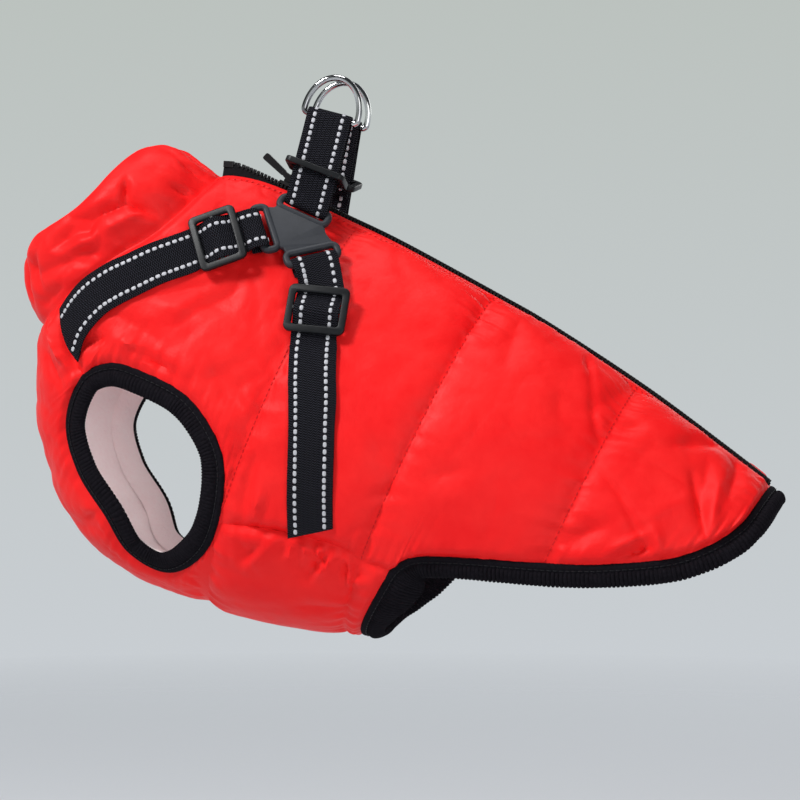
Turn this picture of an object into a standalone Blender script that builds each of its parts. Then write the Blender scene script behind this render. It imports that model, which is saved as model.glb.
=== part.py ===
"""Dog jacket with a built-in webbing harness, filled out as on a dog but with no dog in it.

The coat is a quilted nylon shell over a fleece lining, closed by a zip down the back, with
a padded stand collar and ribbed bindings round the armholes and the hem. On each side a
three-way plastic connector joins a chest strap, a girth strap and a riser strap that goes
up to a D-ring over the withers.

X runs towards the tail, Z is up, and the jacket is the same on both sides of the plane
Y = 0; its left side has Y below zero. The origin is on the inside of the back, at the
withers under the harness. Every size is in millimetres until a mesh is made from it.
"""

import math

import bmesh
import bpy
import numpy as np
from mathutils import Matrix, Vector

MM = 0.001
LEFT, RIGHT = -1, 1
SIDES = (("left", LEFT), ("right", RIGHT))

# ------------------------------------------------------------------ driving dimensions

WEBBING_WIDTH = 25.0
WEBBING_THICK = 1.4
SHELL_THICK = 2.0
LINING_THICK = 2.0
PUFF_HEIGHT = 3.0         # how far the padding lifts the shell between two quilting lines
SEAM_GAP = 0.4            # clear space between two panels sewn together
LAYER_GAP = 0.35          # clear space between the shell and the lining
LINING_INSET = 0.7        # the lining ends this far inside the shell's edges
STRAP_GAP = 0.7           # clear space between a strap and the panel that it lies on
BINDING_WIDTH = 12.7
ZIP_EDGE = 3.0            # from the middle of the back to the edge of a back panel
ZIP_SPREAD = 4.5          # added to that at the open top end of the zip
ZIP_RISE = 6.3            # how far the open end of the zip stands off the back
ZIP_TOP = 1.6             # station of the zip's top end
ZIP_OPEN_TO = 3.8         # the station that the zip is closed up to
TAPE_HIDDEN = 2.6         # how far the zip tape reaches under a panel's edge
TAPE_THICK = 0.8
PLACKET_LIFT = 1.6        # the panel's edge is lifted over the zip tape
PLACKET_ROWS = (3.6, 8.0) # from a panel's edge to the rows of points where the lift ends
CHAIN_WIDTH = 2.2
CHAIN_HEIGHT = 2.6
CHAIN_SPREAD = 2.4        # from the middle of the back to the chain at the open end

# The girths of the coat, neck to tail. Each lies in a slanted plane through the back line
# and the belly line; ridge says how much the section narrows towards the back.
GIRTHS = (
    # back_x, back_z, belly_x, belly_z, half_width, ridge
    (-64.0, 20.5, -160.0, -61.5, 46.0, 0.20),
    (-56.0, 22.0, -161.0, -110.5, 53.0, 0.25),
    (-47.0, 21.5, -149.0, -152.5, 59.0, 0.32),
    (-33.0, 17.5, -131.0, -179.5, 64.0, 0.38),
    (-14.0, 9.0, -107.0, -197.5, 68.0, 0.42),
    (8.5, -2.0, -75.0, -210.5, 71.0, 0.42),
    (42.5, -18.5, -43.0, -220.0, 72.0, 0.36),
    (95.5, -47.5, 14.0, -229.0, 70.0, 0.28),
    (125.0, -64.5, 42.5, -233.5, 68.0, 0.25),
    (176.0, -98.0, 107.0, -247.5, 64.0, 0.20),
    (218.5, -129.5, 164.5, -249.5, 60.0, 0.20),
    (244.0, -149.5, 197.0, -250.0, 57.0, 0.20),
    (261.0, -164.5, 218.5, -251.0, 55.0, 0.20),
)

# Lines on the coat are given by station, which counts the girths above, and by round,
# which goes from 0 on the back line to 1 on the belly line.
NECK_SEAM = (             # station, round
    (0.75, 0.00), (0.95, 0.16), (0.85, 0.33), (0.45, 0.42), (0.20, 0.55), (0.08, 0.697), (0.0, 1.0),
)
CHEST_SEAM = (            # station, round
    (0.08, 0.697), (0.55, 0.665), (1.12, 0.641), (1.60, 0.630),
)
ARMHOLE = (               # station, round; starts where the chest seam meets it
    (1.60, 0.630), (2.10, 0.555), (3.00, 0.523), (4.00, 0.517), (4.75, 0.548), (5.20, 0.602),
    (5.37, 0.690), (5.22, 0.770), (4.65, 0.858), (3.95, 0.850), (3.30, 0.790), (2.40, 0.765),
    (1.75, 0.728),
)
ARMHOLE_REAR = 6.0        # how many rows round the armhole the belly seam starts
# Station of the middle of the chest opposite the armhole's rows, last row first.
CHEST_MIDDLE = (0.9, 1.5, 2.3, 3.1, 3.9, 4.6, 5.2, 5.8)
BELLY_SEAM = (            # station, round; between the armhole and the hem
    (5.76, 0.674), (6.30, 0.663), (6.68, 0.662), (7.01, 0.680), (7.62, 0.684),
)
HEM = (                   # station, round; from the tail to the middle of the belly
    (11.04, 0.0), (10.98, 0.174), (10.89, 0.293), (10.67, 0.367), (10.39, 0.424), (10.01, 0.478),
    (9.40, 0.537), (8.78, 0.581), (8.15, 0.628), (7.84, 0.651), (7.62, 0.684), (7.52, 0.730),
    (7.39, 0.803), (7.30, 0.882), (7.28, 1.0),
)
TAIL_CORNER = 10.86       # station where the hem turns across the tail
# Station of the middle of the back opposite the armhole's first rows.
BACK_MIDDLE = (1.75, 2.2, 3.0, 4.0, 4.7, 5.3, 6.0)
QUILTING = (0.0, 5.38, 7.0, 8.95)      # stations of the quilting lines
PRESSED = (4.3, 0.20, 1.6, 0.16)       # station and round of the middle and the reach of the
                                       # place where the connector presses the padding flat

# The largest folds of each side: a soft trough or, below zero, a ridge in the outer face.
FOLDS = (
    # station, round, to_station, to_round, half_width, depth
    (1.15, 0.520, 3.10, 0.470, 7.0, 1.3),
    (2.20, 0.430, 3.90, 0.400, 9.0, -1.2),
    (4.60, 0.500, 5.20, 0.440, 6.0, 1.0),
    (5.75, 0.690, 6.10, 0.760, 5.0, 1.1),
    (6.35, 0.690, 6.60, 0.750, 5.0, 1.0),
    (9.10, 0.270, 10.60, 0.300, 8.0, 1.1),
    (9.60, 0.420, 10.20, 0.250, 8.0, -1.0),
)

# The collar stands on the neck seam; its rim lies in a plane of its own.
COLLAR_RIM = (-97.0, 40.5, -168.5, -13.0, 42.0)     # back_x, back_z, throat_x, throat_z, half_width
COLLAR_RISE = (           # round, extra height over the rim, fullness
    (0.00, -1.5, 3.0), (0.10, -1.0, 4.4), (0.18, -1.0, 5.0), (0.27, -2.6, 6.0), (0.35, -5.0, 6.2),
    (0.43, -8.0, 5.8), (0.51, -9.7, 4.8), (0.59, -9.0, 4.2), (0.68, -6.8, 5.2), (0.76, -5.0, 6.0),
    (0.84, -6.5, 6.0), (1.00, -7.0, 5.4),
)
COLLAR_FOLDS = (
    # round, rise, to_round, to_rise, half_width, depth
    (0.44, 0.61, 0.55, 0.67, 7.0, 2.4),
    (0.54, 0.67, 0.66, 0.65, 6.0, 2.0),
    (0.59, 0.33, 0.74, 0.46, 6.0, 2.0),
    (0.34, 0.75, 0.36, 0.30, 5.0, 1.4),
    (0.80, 0.80, 0.74, 0.25, 6.0, 1.5),
)

CHEST_STRAP = (           # station, round of its middle, connector to chest seam
    (2.51, 0.315), (1.62, 0.389), (0.97, 0.488), (0.78, 0.552), (0.76, 0.600), (0.82, 0.632),
    (0.88, 0.644),
)
GIRTH_STRAP = (           # station, round of its middle, connector to belly seam
    (5.73, 0.374), (6.00, 0.447), (6.21, 0.519), (6.38, 0.596), (6.48, 0.648),
)
SLOT_EXIT = 5.0           # a strap is clear of its connector bar this far out from it
STRAP_LANDS = 16.0        # a strap meets the coat this far out from its connector bar
CHEST_ADJUSTER_AT = 22.0  # and the middle of the chest strap's adjuster is this far out
GIRTH_ADJUSTER_AT = 31.0  # and the girth strap's

ADJUSTER = (33.0, 26.0, 2.4)           # across the strap, along it, thickness
ADJUSTER_BAR = 3.3
ADJUSTER_CENTRE_BAR = 2.2
ADJUSTER_GAP = 0.75       # clear space between the adjuster and the strap under it
HUMP_HEIGHT = 5.4         # of the strap over the adjuster's centre bar
HUMP_LENGTH = 4.8
HUMP_ROWS = np.array([-13.5, -10.0, -7.0, -4.5, -3.0, -1.3, 1.3, 3.0, 4.5, 7.0, 10.0, 14.0, 18.0])
FLAT_REACH = (12.0, 21.0) # a strap lies flat up to the first distance from its adjuster's middle
                          # and follows the coat beyond the second

# The connector is a flat plate; u runs towards the tail and w up along the plate.
CONNECTOR_CENTRE = (-6.3, -33.6, -12.0)
CONNECTOR_TILT = math.radians(31.0)
CONNECTOR_YAW = math.radians(16.0)
CONNECTOR_THICK = 3.0
SLOTS = (
    # u and w of the outer bar's middle, the way out across the bar in degrees
    (4.4, 18.7, 61.0),
    (-22.9, 2.4, 194.0),
    (7.2, -17.7, 285.0),
)
BAR_RADIUS = 1.5
BAR_GAP = 0.9             # clear space between a bar and the strap round it
SLOT_LENGTH = 25.8
SLOT_WIDTH = 4.8
RIM_WIDTH = 2.1           # of the plate beyond the end of a slot
NECK_DEPTH = 7.0          # how far the edge is drawn in between two loops

D_RING_BAR = (5.5, -12.0, 53.1)        # the middle of the left ring's straight bar
D_RING_LEAN = math.radians(15.5)       # the bar drops towards the tail by this much
D_RING_HALF_WIDTH = 15.5
D_RING_HEIGHT = 22.5
D_RING_WIRE = 1.5                      # radius of the wire
RISER_ADJUSTER_AT = 20.0               # height above the connector's bar
RISER_ADJUSTER_DEPTH = 20.0
RISER_ADJUSTER_BACK = 1.9              # its centre bar lies this far behind the strap's middle

PULL_PIN_HEIGHT = 8.3                 # of the pull's pin above the back line
PULL_LENGTH = 20.0
PULL_REST = math.radians(137.0)        # angle of the pull from +X, turning towards +Z

# ------------------------------------------------------------------------ curve helpers


def spline(rows, at, closed=False):
    """Catmull-Rom curve through the rows of a table, at row numbers that need not be whole."""
    table = np.asarray(rows, float)
    at = np.asarray(at, float)
    count = len(table)
    if closed:
        first = np.floor(at).astype(int)
        near = [table[(first + step) % count] for step in (-1, 0, 1, 2)]
    else:
        first = np.clip(np.floor(at).astype(int), 0, count - 2)
        ends = np.vstack([2 * table[0] - table[1], table, 2 * table[-1] - table[-2]])
        near = [ends[first + step] for step in (0, 1, 2, 3)]
    part = (at - first)[..., None]
    before, start, end, after = near
    return 0.5 * (2 * start + (end - before) * part
                  + (2 * before - 5 * start + 4 * end - after) * part ** 2
                  + (3 * start - before - 3 * end + after) * part ** 3)


def smooth_lookup(rows, value, key=0):
    """The row of a table at a value of its key column, on a smooth curve through the rows."""
    table = np.asarray(rows, float)
    order = np.argsort(table[:, key])
    table = table[order]
    number = np.interp(value, table[:, key], np.arange(len(table)))
    return spline(table, number)


def unit(vectors):
    """Vectors scaled to length 1."""
    return vectors / np.linalg.norm(vectors, axis=-1, keepdims=True)


def spaced(lines, count, turning=0.0):
    """Points along a line on the coat, given by station and round, spaced evenly by length
    or, with turning in millimetres for each radian, closer where the line bends."""
    steps = np.diff(coat(lines[:, 0], lines[:, 1]), axis=0)
    length = np.linalg.norm(steps, axis=1)
    ways = unit(steps)
    bend = np.linalg.norm(np.diff(ways, axis=0), axis=1)
    measure = np.concatenate([[0], np.cumsum(length + turning * np.concatenate([[0], bend]))])
    wanted = np.linspace(0, measure[-1], count)
    return np.interp(wanted, measure, lines[:, 0]), np.interp(wanted, measure, lines[:, 1])


# --------------------------------------------------------------------- surface of the coat


def coat(station, around):
    """A point of the coat's inner shell face: down a slanted girth by a cosine, out by a sine."""
    station, around = np.broadcast_arrays(np.asarray(station, float), np.asarray(around, float))
    back_x, back_z, belly_x, belly_z, half_width, ridge = np.moveaxis(spline(GIRTHS, station), -1, 0)
    turn = math.pi * around
    down = (1 - np.cos(turn)) / 2
    wide = np.sin(turn) * (1 - ridge * ((1 + np.cos(turn)) / 2) ** 2)
    return np.stack([back_x + (belly_x - back_x) * down,
                     -half_width * wide,
                     back_z + (belly_z - back_z) * down], -1)


def slopes(station, around, step=1e-3):
    """How the coat's point moves with the station and with round."""
    by_station = (coat(station + step, around) - coat(station - step, around)) / (2 * step)
    by_round = (coat(station, around + step) - coat(station, around - step)) / (2 * step)
    return by_station, by_round


def outward(station, around):
    """The direction out of the coat."""
    by_station, by_round = slopes(station, around)
    return unit(np.cross(by_round, by_station))


def shifted(station, around, move):
    """The station and round of a point moved along the coat by a vector in millimetres."""
    by_station, by_round = slopes(station, around)
    aa = np.sum(by_station * by_station, -1)
    ab = np.sum(by_station * by_round, -1)
    bb = np.sum(by_round * by_round, -1)
    am = np.sum(by_station * move, -1)
    bm = np.sum(by_round * move, -1)
    span = aa * bb - ab * ab
    return station + (am * bb - bm * ab) / span, around + (bm * aa - am * ab) / span


def nearest(point, guess):
    """Station and round of the coat's point nearest to a point in space."""
    station, around = guess
    for _ in range(12):
        station, around = shifted(station, around, point - coat(station, around))
    return station, around


def edge_round(station, distance):
    """The round at which the coat is this far from the middle of the back."""
    half_width, ridge = np.moveaxis(spline(GIRTHS, station), -1, 0)[4:6]
    return distance / (math.pi * half_width * (1 - ridge))


def folds(rows, first, second, surface):
    """Depth of all folds of a table at points given by two surface coordinates."""
    point = surface(first, second)
    depth = np.zeros(point.shape[:-1])
    for start_a, start_b, end_a, end_b, half_width, deep in rows:
        start = surface(np.float64(start_a), np.float64(start_b))
        end = surface(np.float64(end_a), np.float64(end_b))
        along = end - start
        share = np.clip(np.sum((point - start) * along, -1) / np.dot(along, along), 0, 1)
        away = np.linalg.norm(point - (start + share[..., None] * along), axis=-1)
        depth += deep * np.exp(-(away / half_width) ** 2) * (0.35 + 0.65 * np.sin(math.pi * share))
    return depth


def puff(station, around):
    """Height of the padding: a flat arch between two quilting lines, nothing at the edges."""
    lines = QUILTING + (11.3,)
    height = np.zeros(np.broadcast(station, around).shape)
    for start, end in zip(lines[:-1], lines[1:]):
        share = np.clip((station - start) / (end - start), 0, 1)
        height += np.sqrt(np.sin(math.pi * share))
    folded = np.minimum(around, 2 - around)
    pressed = np.exp(-((station - PRESSED[0]) / PRESSED[2]) ** 2 - ((folded - PRESSED[1]) / PRESSED[3]) ** 2)
    return PUFF_HEIGHT * height * (1 - 0.85 * pressed) * np.clip(folded / 0.14, 0, 1) ** 0.6


def shell_out(station, around):
    """Height of the shell's outer face over its plain inner face."""
    folded = np.minimum(around, 2 - around)
    return SHELL_THICK + puff(station, around) - folds(FOLDS, station, folded, coat)


# ------------------------------------------------------------------------- lines on the coat


def armhole_arc(first, last, count):
    """Points of the armhole's outline between two row numbers."""
    return spline(ARMHOLE, np.linspace(first, last, count), closed=True)


def belly_seam_at(stations):
    """Points of the belly seam, from the armhole to the hem, at these stations."""
    rows = np.vstack([armhole_arc(ARMHOLE_REAR, ARMHOLE_REAR, 1), BELLY_SEAM])
    points = smooth_lookup(rows, stations)
    points[:, 0] = stations
    return points


def hem_curve():
    """The hem of the left side as many close points, from the tail to the belly line."""
    return spline(HEM, np.linspace(0, len(HEM) - 1, 1000))


def hem_at(stations):
    """Points of the hem along the side, at these stations."""
    curve = hem_curve()[::-1]
    side = curve[np.argmin(np.abs(curve[:, 1] - BELLY_SEAM[-1][1])):]
    around = np.interp(stations, side[:, 0], side[:, 1])
    return np.stack([stations, around], -1)


def hem_station(around):
    """Station of the hem at a round of 0 to 2."""
    curve = hem_curve()
    return np.interp(np.minimum(around, 2 - around), curve[:, 1], curve[:, 0])


def neck_station(around):
    """Station of the neck seam at a round of 0 to 2."""
    folded = np.minimum(around, 2 - around)
    return smooth_lookup(NECK_SEAM, folded, key=1)[..., 0]


def opened(station):
    """How far the zip is open at a station: 0 where it is closed, 1 at its top end."""
    return np.clip((ZIP_OPEN_TO - station) / (ZIP_OPEN_TO - ZIP_TOP), 0, 1)


def zip_edge(station):
    """How far a back panel's edge is from the middle of the back."""
    return ZIP_EDGE + ZIP_SPREAD * opened(station)


def coons(top, bottom, front, rear, shares):
    """A grid blended from its four edges, with rows at these shares from top to bottom."""
    u = np.linspace(0, 1, len(top))[:, None, None]
    w = shares[None, :, None]
    down = (1 - w) * top[:, None] + w * bottom[:, None]
    along = (1 - u) * front[None, :] + u * rear[None, :]
    corners = ((1 - u) * (1 - w) * top[0] + u * (1 - w) * top[-1]
               + (1 - u) * w * bottom[0] + u * w * bottom[-1])
    return down + along - corners


def side_grid():
    """Station and round of the left back panel's points.

    Its top edge is the zip, its front edge the neck seam, its bottom edge the chest seam,
    the armhole and the belly seam, and its rear edge the hem.
    """
    chest = spline(CHEST_SEAM, np.linspace(0, 3, 5))[:-1]
    rows = np.linspace(0, ARMHOLE_REAR, 14)[:-1]
    arc = spline(ARMHOLE, rows, closed=True)
    start = spline(ARMHOLE, ARMHOLE_REAR, closed=True)[0]
    belly = belly_seam_at(np.array([start, 5.6, 6.0, 6.4, 6.75, 7.0, 7.25, BELLY_SEAM[-1][0]]))
    hem = hem_at(np.array([BELLY_SEAM[-1][0], 7.75, 7.95, 8.25, 8.6, 8.95, 9.2, 9.5, 9.8, 10.1, 10.35,
                           10.55, 10.72, TAIL_CORNER]))
    bottom = np.vstack([chest, arc, belly, hem[1:]])
    front = neck_station(edge_round(1.0, zip_edge(1.0)))
    beyond = np.concatenate([belly[:, 0], hem[1:, 0]])
    top_station = np.concatenate([
        np.linspace(front, BACK_MIDDLE[0], 5)[:-1],
        np.interp(rows, np.arange(len(BACK_MIDDLE)), BACK_MIDDLE),
        np.interp(beyond, [start, belly[-1, 0], TAIL_CORNER], [BACK_MIDDLE[-1], 8.05, HEM[0][0]])])
    top = np.stack([top_station, edge_round(top_station, zip_edge(top_station))], -1)
    down = np.array([0.0, 0.045, 0.10, 0.21, 0.34, 0.48, 0.63, 0.81, 1.0])
    front_round = top[0, 1] + (bottom[0, 1] - top[0, 1]) * down
    front = np.stack([neck_station(front_round), front_round], -1)
    rear_round = top[-1, 1] + (bottom[-1, 1] - top[-1, 1]) * down
    rear = np.stack([hem_station(rear_round), rear_round], -1)
    station, around = np.moveaxis(coons(top, bottom, front, rear, down), -1, 0)
    for row, beyond in enumerate(PLACKET_ROWS, 1):
        around[:, row] = edge_round(station[:, row], zip_edge(station[:, row]) + beyond)
        station[0, row] = neck_station(around[0, row])
        station[-1, row] = hem_station(around[-1, row])
    return station, around


def chest_grid():
    """Station and round of the chest panel's points, from the left seam across to the right."""
    chest = spline(CHEST_SEAM, np.linspace(0, 3, 5))[:-1]
    rows = np.linspace(len(ARMHOLE), ARMHOLE_REAR, 20)[:-1]
    arc = spline(ARMHOLE, rows, closed=True)
    start = spline(ARMHOLE, ARMHOLE_REAR, closed=True)[0]
    belly = belly_seam_at(np.array([start, 5.6, 6.0, 6.4, 6.75, 7.0, 7.25, BELLY_SEAM[-1][0]]))
    edge = np.vstack([chest, arc, belly])
    facing = len(ARMHOLE) - np.arange(len(CHEST_MIDDLE))
    centre = np.concatenate([np.linspace(0, CHEST_MIDDLE[0], 5)[:-1],
                             np.interp(-rows, -facing, CHEST_MIDDLE),
                             np.interp(belly[:, 0], [start, belly[-1, 0]], [CHEST_MIDDLE[-1], HEM[-1][0]])])
    rim = coat(edge[:, 0], edge[:, 1])
    travel = np.concatenate([[0], np.cumsum(np.linalg.norm(np.diff(rim, axis=0), axis=1))])
    across = np.linspace(0, 1, 10)[None, :]
    station = edge[:, :1] + (centre[:, None] - edge[:, :1]) * (1 - (2 * across - 1) ** 2)
    around = edge[:, 1:] + (2 - 2 * edge[:, 1:]) * across
    share = (travel / travel[-1])[:, None]
    station += (neck_station(around[0]) - station[0]) * (1 - share) ** 4
    station += (hem_station(around[-1]) - station[-1]) * share ** 4
    return station, around


# ----------------------------------------------------------------------------- materials


def material(name, colour, roughness, metallic=0.0):
    """A Principled material."""
    made = bpy.data.materials.new(name)
    made.use_nodes = True
    shader = made.node_tree.nodes["Principled BSDF"]
    shader.inputs["Base Color"].default_value = (*colour, 1.0)
    shader.inputs["Roughness"].default_value = roughness
    shader.inputs["Metallic"].default_value = metallic
    made.diffuse_color = (*colour, 1.0)
    return made


# --------------------------------------------------------------------------- mesh helpers


def side_of(points, side):
    """Points made for the left side, or mirrored to the right."""
    return points if side == LEFT else points * np.array([1.0, -1.0, 1.0])


def add_object(name, vertices, faces, finish, smooth_angle=40.0):
    """One named closed mesh, in metres, faces out."""
    mesh = bpy.data.meshes.new(name)
    mesh.from_pydata((np.asarray(vertices) * MM).tolist(), [], faces)
    body = bmesh.new()
    body.from_mesh(mesh)
    bmesh.ops.recalc_face_normals(body, faces=body.faces)
    body.to_mesh(mesh)
    body.free()
    mesh.shade_smooth()
    mesh.set_sharp_from_angle(angle=math.radians(smooth_angle))
    made = bpy.data.objects.new(name, mesh)
    made.data.materials.append(finish)
    COLLECTION.objects.link(made)
    return made


def wall(name, outer, inner, finish):
    """A closed wall between two grids of points of one size."""
    rows, columns = outer.shape[:2]
    number = np.arange(rows * columns).reshape(rows, columns)
    lower = number + rows * columns
    a, b, c, d = number[:-1, :-1], number[1:, :-1], number[1:, 1:], number[:-1, 1:]
    quads = [np.stack([a, b, c, d], -1).reshape(-1, 4),
             np.stack([d, c, b, a], -1).reshape(-1, 4) + rows * columns]
    rim = np.concatenate([number[:, 0], number[-1, 1:], number[-2::-1, -1], number[0, -2:0:-1]])
    under = np.concatenate([lower[:, 0], lower[-1, 1:], lower[-2::-1, -1], lower[0, -2:0:-1]])
    quads.append(np.stack([rim, under, np.roll(under, -1), np.roll(rim, -1)], -1))
    vertices = np.vstack([outer.reshape(-1, 3), inner.reshape(-1, 3)])
    return add_object(name, vertices, np.vstack(quads).tolist(), finish)


def tube(name, rings, finish, closed=False):
    """A closed body lofted through rings of points; open ends get a cap."""
    count, sides = rings.shape[:2]
    number = np.arange(count * sides).reshape(count, sides)
    following = np.roll(number, -1, axis=0) if closed else number[1:]
    current = number if closed else number[:-1]
    quads = np.stack([current, np.roll(current, -1, 1), np.roll(following, -1, 1), following], -1)
    faces = quads.reshape(-1, 4).tolist()
    if not closed:
        faces += [number[0].tolist(), number[-1][::-1].tolist()]
    return add_object(name, rings.reshape(-1, 3), faces, finish)


def drawn_in(grid, distance):
    """A grid of points with its outermost rows and columns drawn in by a distance."""
    grid = grid.copy()
    for edge, inner in ((0, 1), (-1, -2)):
        grid[edge] += unit(grid[inner] - grid[edge]) * distance
        grid[:, edge] += unit(grid[:, inner] - grid[:, edge]) * distance
    return grid


def flat_plate(name, outlines, thick, place, finish, bevel=0.0):
    """A flat piece from closed outlines, the first its edge and the rest its holes.

    place is a matrix, in millimetres, from the plate's own plane to the jacket's frame.
    """
    curve = bpy.data.curves.new(name, "CURVE")
    curve.dimensions = "2D"
    curve.fill_mode = "BOTH"
    curve.extrude = (thick / 2 - bevel) * MM
    curve.bevel_depth = bevel * MM
    curve.bevel_resolution = 0
    curve.offset = -bevel * MM
    for outline in outlines:
        line = curve.splines.new("POLY")
        line.points.add(len(outline) - 1)
        for point, (x, y) in zip(line.points, outline):
            point.co = (x * MM, y * MM, 0, 1)
        line.use_cyclic_u = True
    shape = bpy.data.objects.new(name + "_curve", curve)
    COLLECTION.objects.link(shape)
    evaluated = shape.evaluated_get(bpy.context.evaluated_depsgraph_get())
    mesh = bpy.data.meshes.new_from_object(evaluated)
    bpy.data.objects.remove(shape)
    body = bmesh.new()
    body.from_mesh(mesh)
    bmesh.ops.remove_doubles(body, verts=body.verts, dist=0.00001)
    move = place.copy()
    move.translation = place.translation * MM
    bmesh.ops.transform(body, matrix=move, verts=body.verts)
    bmesh.ops.recalc_face_normals(body, faces=body.faces)
    body.to_mesh(mesh)
    body.free()
    mesh.name = name
    made = bpy.data.objects.new(name, mesh)
    made.data.materials.clear()
    made.data.materials.append(finish)
    COLLECTION.objects.link(made)
    return made


def place_matrix(origin, across, up):
    """A matrix whose x axis is across, whose y axis is up, and whose z axis faces out."""
    x = Vector(across).normalized()
    z = x.cross(Vector(up)).normalized()
    y = z.cross(x)
    matrix = Matrix((x, y, z)).transposed().to_4x4()
    matrix.translation = Vector(origin)
    return matrix


def rounded(corners, radius, steps=3):
    """A closed outline with every corner rounded to a radius."""
    outline = []
    count = len(corners)
    for index in range(count):
        here = np.array(corners[index], float)
        before = unit(np.array(corners[index - 1], float) - here)
        after = unit(np.array(corners[(index + 1) % count], float) - here)
        half = math.acos(np.clip(np.dot(before, after), -1, 1)) / 2
        reach = radius / math.tan(half)
        centre = here + unit(before + after) * radius / math.sin(half)
        start = here + before * reach - centre
        end = here + after * reach - centre
        first = math.atan2(start[1], start[0])
        turn = (math.atan2(end[1], end[0]) - first + math.pi) % (2 * math.pi) - math.pi
        for step in range(steps + 1):
            angle = first + turn * step / steps
            outline.append(tuple(centre + radius * np.array([math.cos(angle), math.sin(angle)])))
    return outline


# -------------------------------------------------------------------------------- the coat


LINING_ROWS = (0, 2, 4, 6, 8)          # of a back panel's points that its lining has
LINING_COLUMNS = (0, 2, 4, 5, 7, 9)    # of the chest panel's points that its lining has


def make_panels(shell, fleece):
    """The quilted shell and the fleece lining: two back panels and a chest panel each."""
    for name, (station, around), whole in (("back", side_grid(), False), ("chest", chest_grid(), True)):
        base = coat(station, around)
        out = outward(station, around)
        lift = np.zeros(station.shape)
        if not whole:
            lift[:, :2] = PLACKET_LIFT
        height = np.maximum(shell_out(station, around), SHELL_THICK * 0.8)
        height[:, 0] = height[:, 1] = SHELL_THICK
        inner = drawn_in(base + out * lift[..., None], SEAM_GAP / 2)
        outer = drawn_in(base + out * np.where(lift > 0, lift + SHELL_THICK, height)[..., None],
                         SEAM_GAP / 2)
        fewer = LINING_COLUMNS if whole else LINING_ROWS
        upper = drawn_in((base - out * LAYER_GAP)[:, fewer], LINING_INSET)
        lower = drawn_in((base - out * (LAYER_GAP + LINING_THICK))[:, fewer], LINING_INSET)
        if whole:
            wall("chest_panel", outer, inner, shell)
            wall("lining_chest", upper, lower, fleece)
            continue
        for label, side in SIDES:
            wall(f"{name}_panel_{label}", side_of(outer, side), side_of(inner, side), shell)
            wall(f"lining_{label}", side_of(upper, side), side_of(lower, side), fleece)


BINDING_SECTION = (       # across the band as a share of its width, height over the shell's inside
    (0.05, -1.9), (0.05, 1.4), (0.30, 2.7), (0.68, 2.5), (1.0, 0.5), (1.0, -1.3), (0.70, -3.1),
    (0.30, -3.2),
)


def band(station, around, away, width=BINDING_WIDTH):
    """Rings of a binding along a line on the coat; away is the way it stands off the line."""
    rings = []
    for share, height in BINDING_SECTION:
        to_station, to_round = shifted(station, around, away * share * width)
        rings.append(coat(to_station, to_round) + outward(to_station, to_round) * height)
    return np.stack(rings, 1)


def make_bindings(rib):
    """A ribbed band round each armhole, and one round the hem that is open at the zip."""
    station, around = spaced(armhole_arc(0, len(ARMHOLE), 400), 43, turning=12.0)
    station, around = station[:-1], around[:-1]
    place = coat(station, around)
    along = unit(np.roll(place, -1, 0) - np.roll(place, 1, 0))
    inward = np.cross(outward(station, around), along)
    inward *= np.sign(np.sum((place.mean(0) - place) * inward, -1))[:, None]
    rings = band(station, around, inward)
    for label, side in SIDES:
        tube(f"armhole_binding_{label}", side_of(rings, side), rib, closed=True)

    half = hem_curve()
    half = half[half[:, 1] > edge_round(half[:, 0], ZIP_EDGE * 0.9)]
    other = half[::-1] * np.array([1, -1]) + np.array([0, 2])
    station, around = spaced(np.vstack([half, other[1:]]), 75, turning=14.0)
    along = unit(np.gradient(coat(station, around), axis=0))
    away = np.cross(outward(station, around), along)
    tube("hem_binding", band(station, around, away), rib)


def collar_face(around, rise):
    """A point of the collar's middle layer: from the neck seam at 0 to the rim at 1."""
    around, rise = np.broadcast_arrays(np.asarray(around, float), np.asarray(rise, float))
    base = coat(neck_station(around), around)
    back_x, back_z, throat_x, throat_z, half_width = COLLAR_RIM
    turn = math.pi * around
    down = (1 - np.cos(turn)) / 2
    rim = np.stack([back_x + (throat_x - back_x) * down, -half_width * np.sin(turn),
                    back_z + (throat_z - back_z) * down], -1)
    folded = np.minimum(around, 2 - around)
    extra = smooth_lookup(COLLAR_RISE, folded)[..., 1]
    height = np.linalg.norm(rim - base, axis=-1)
    return base + (rim - base) * (rise * (1 + extra / height))[..., None]


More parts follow.
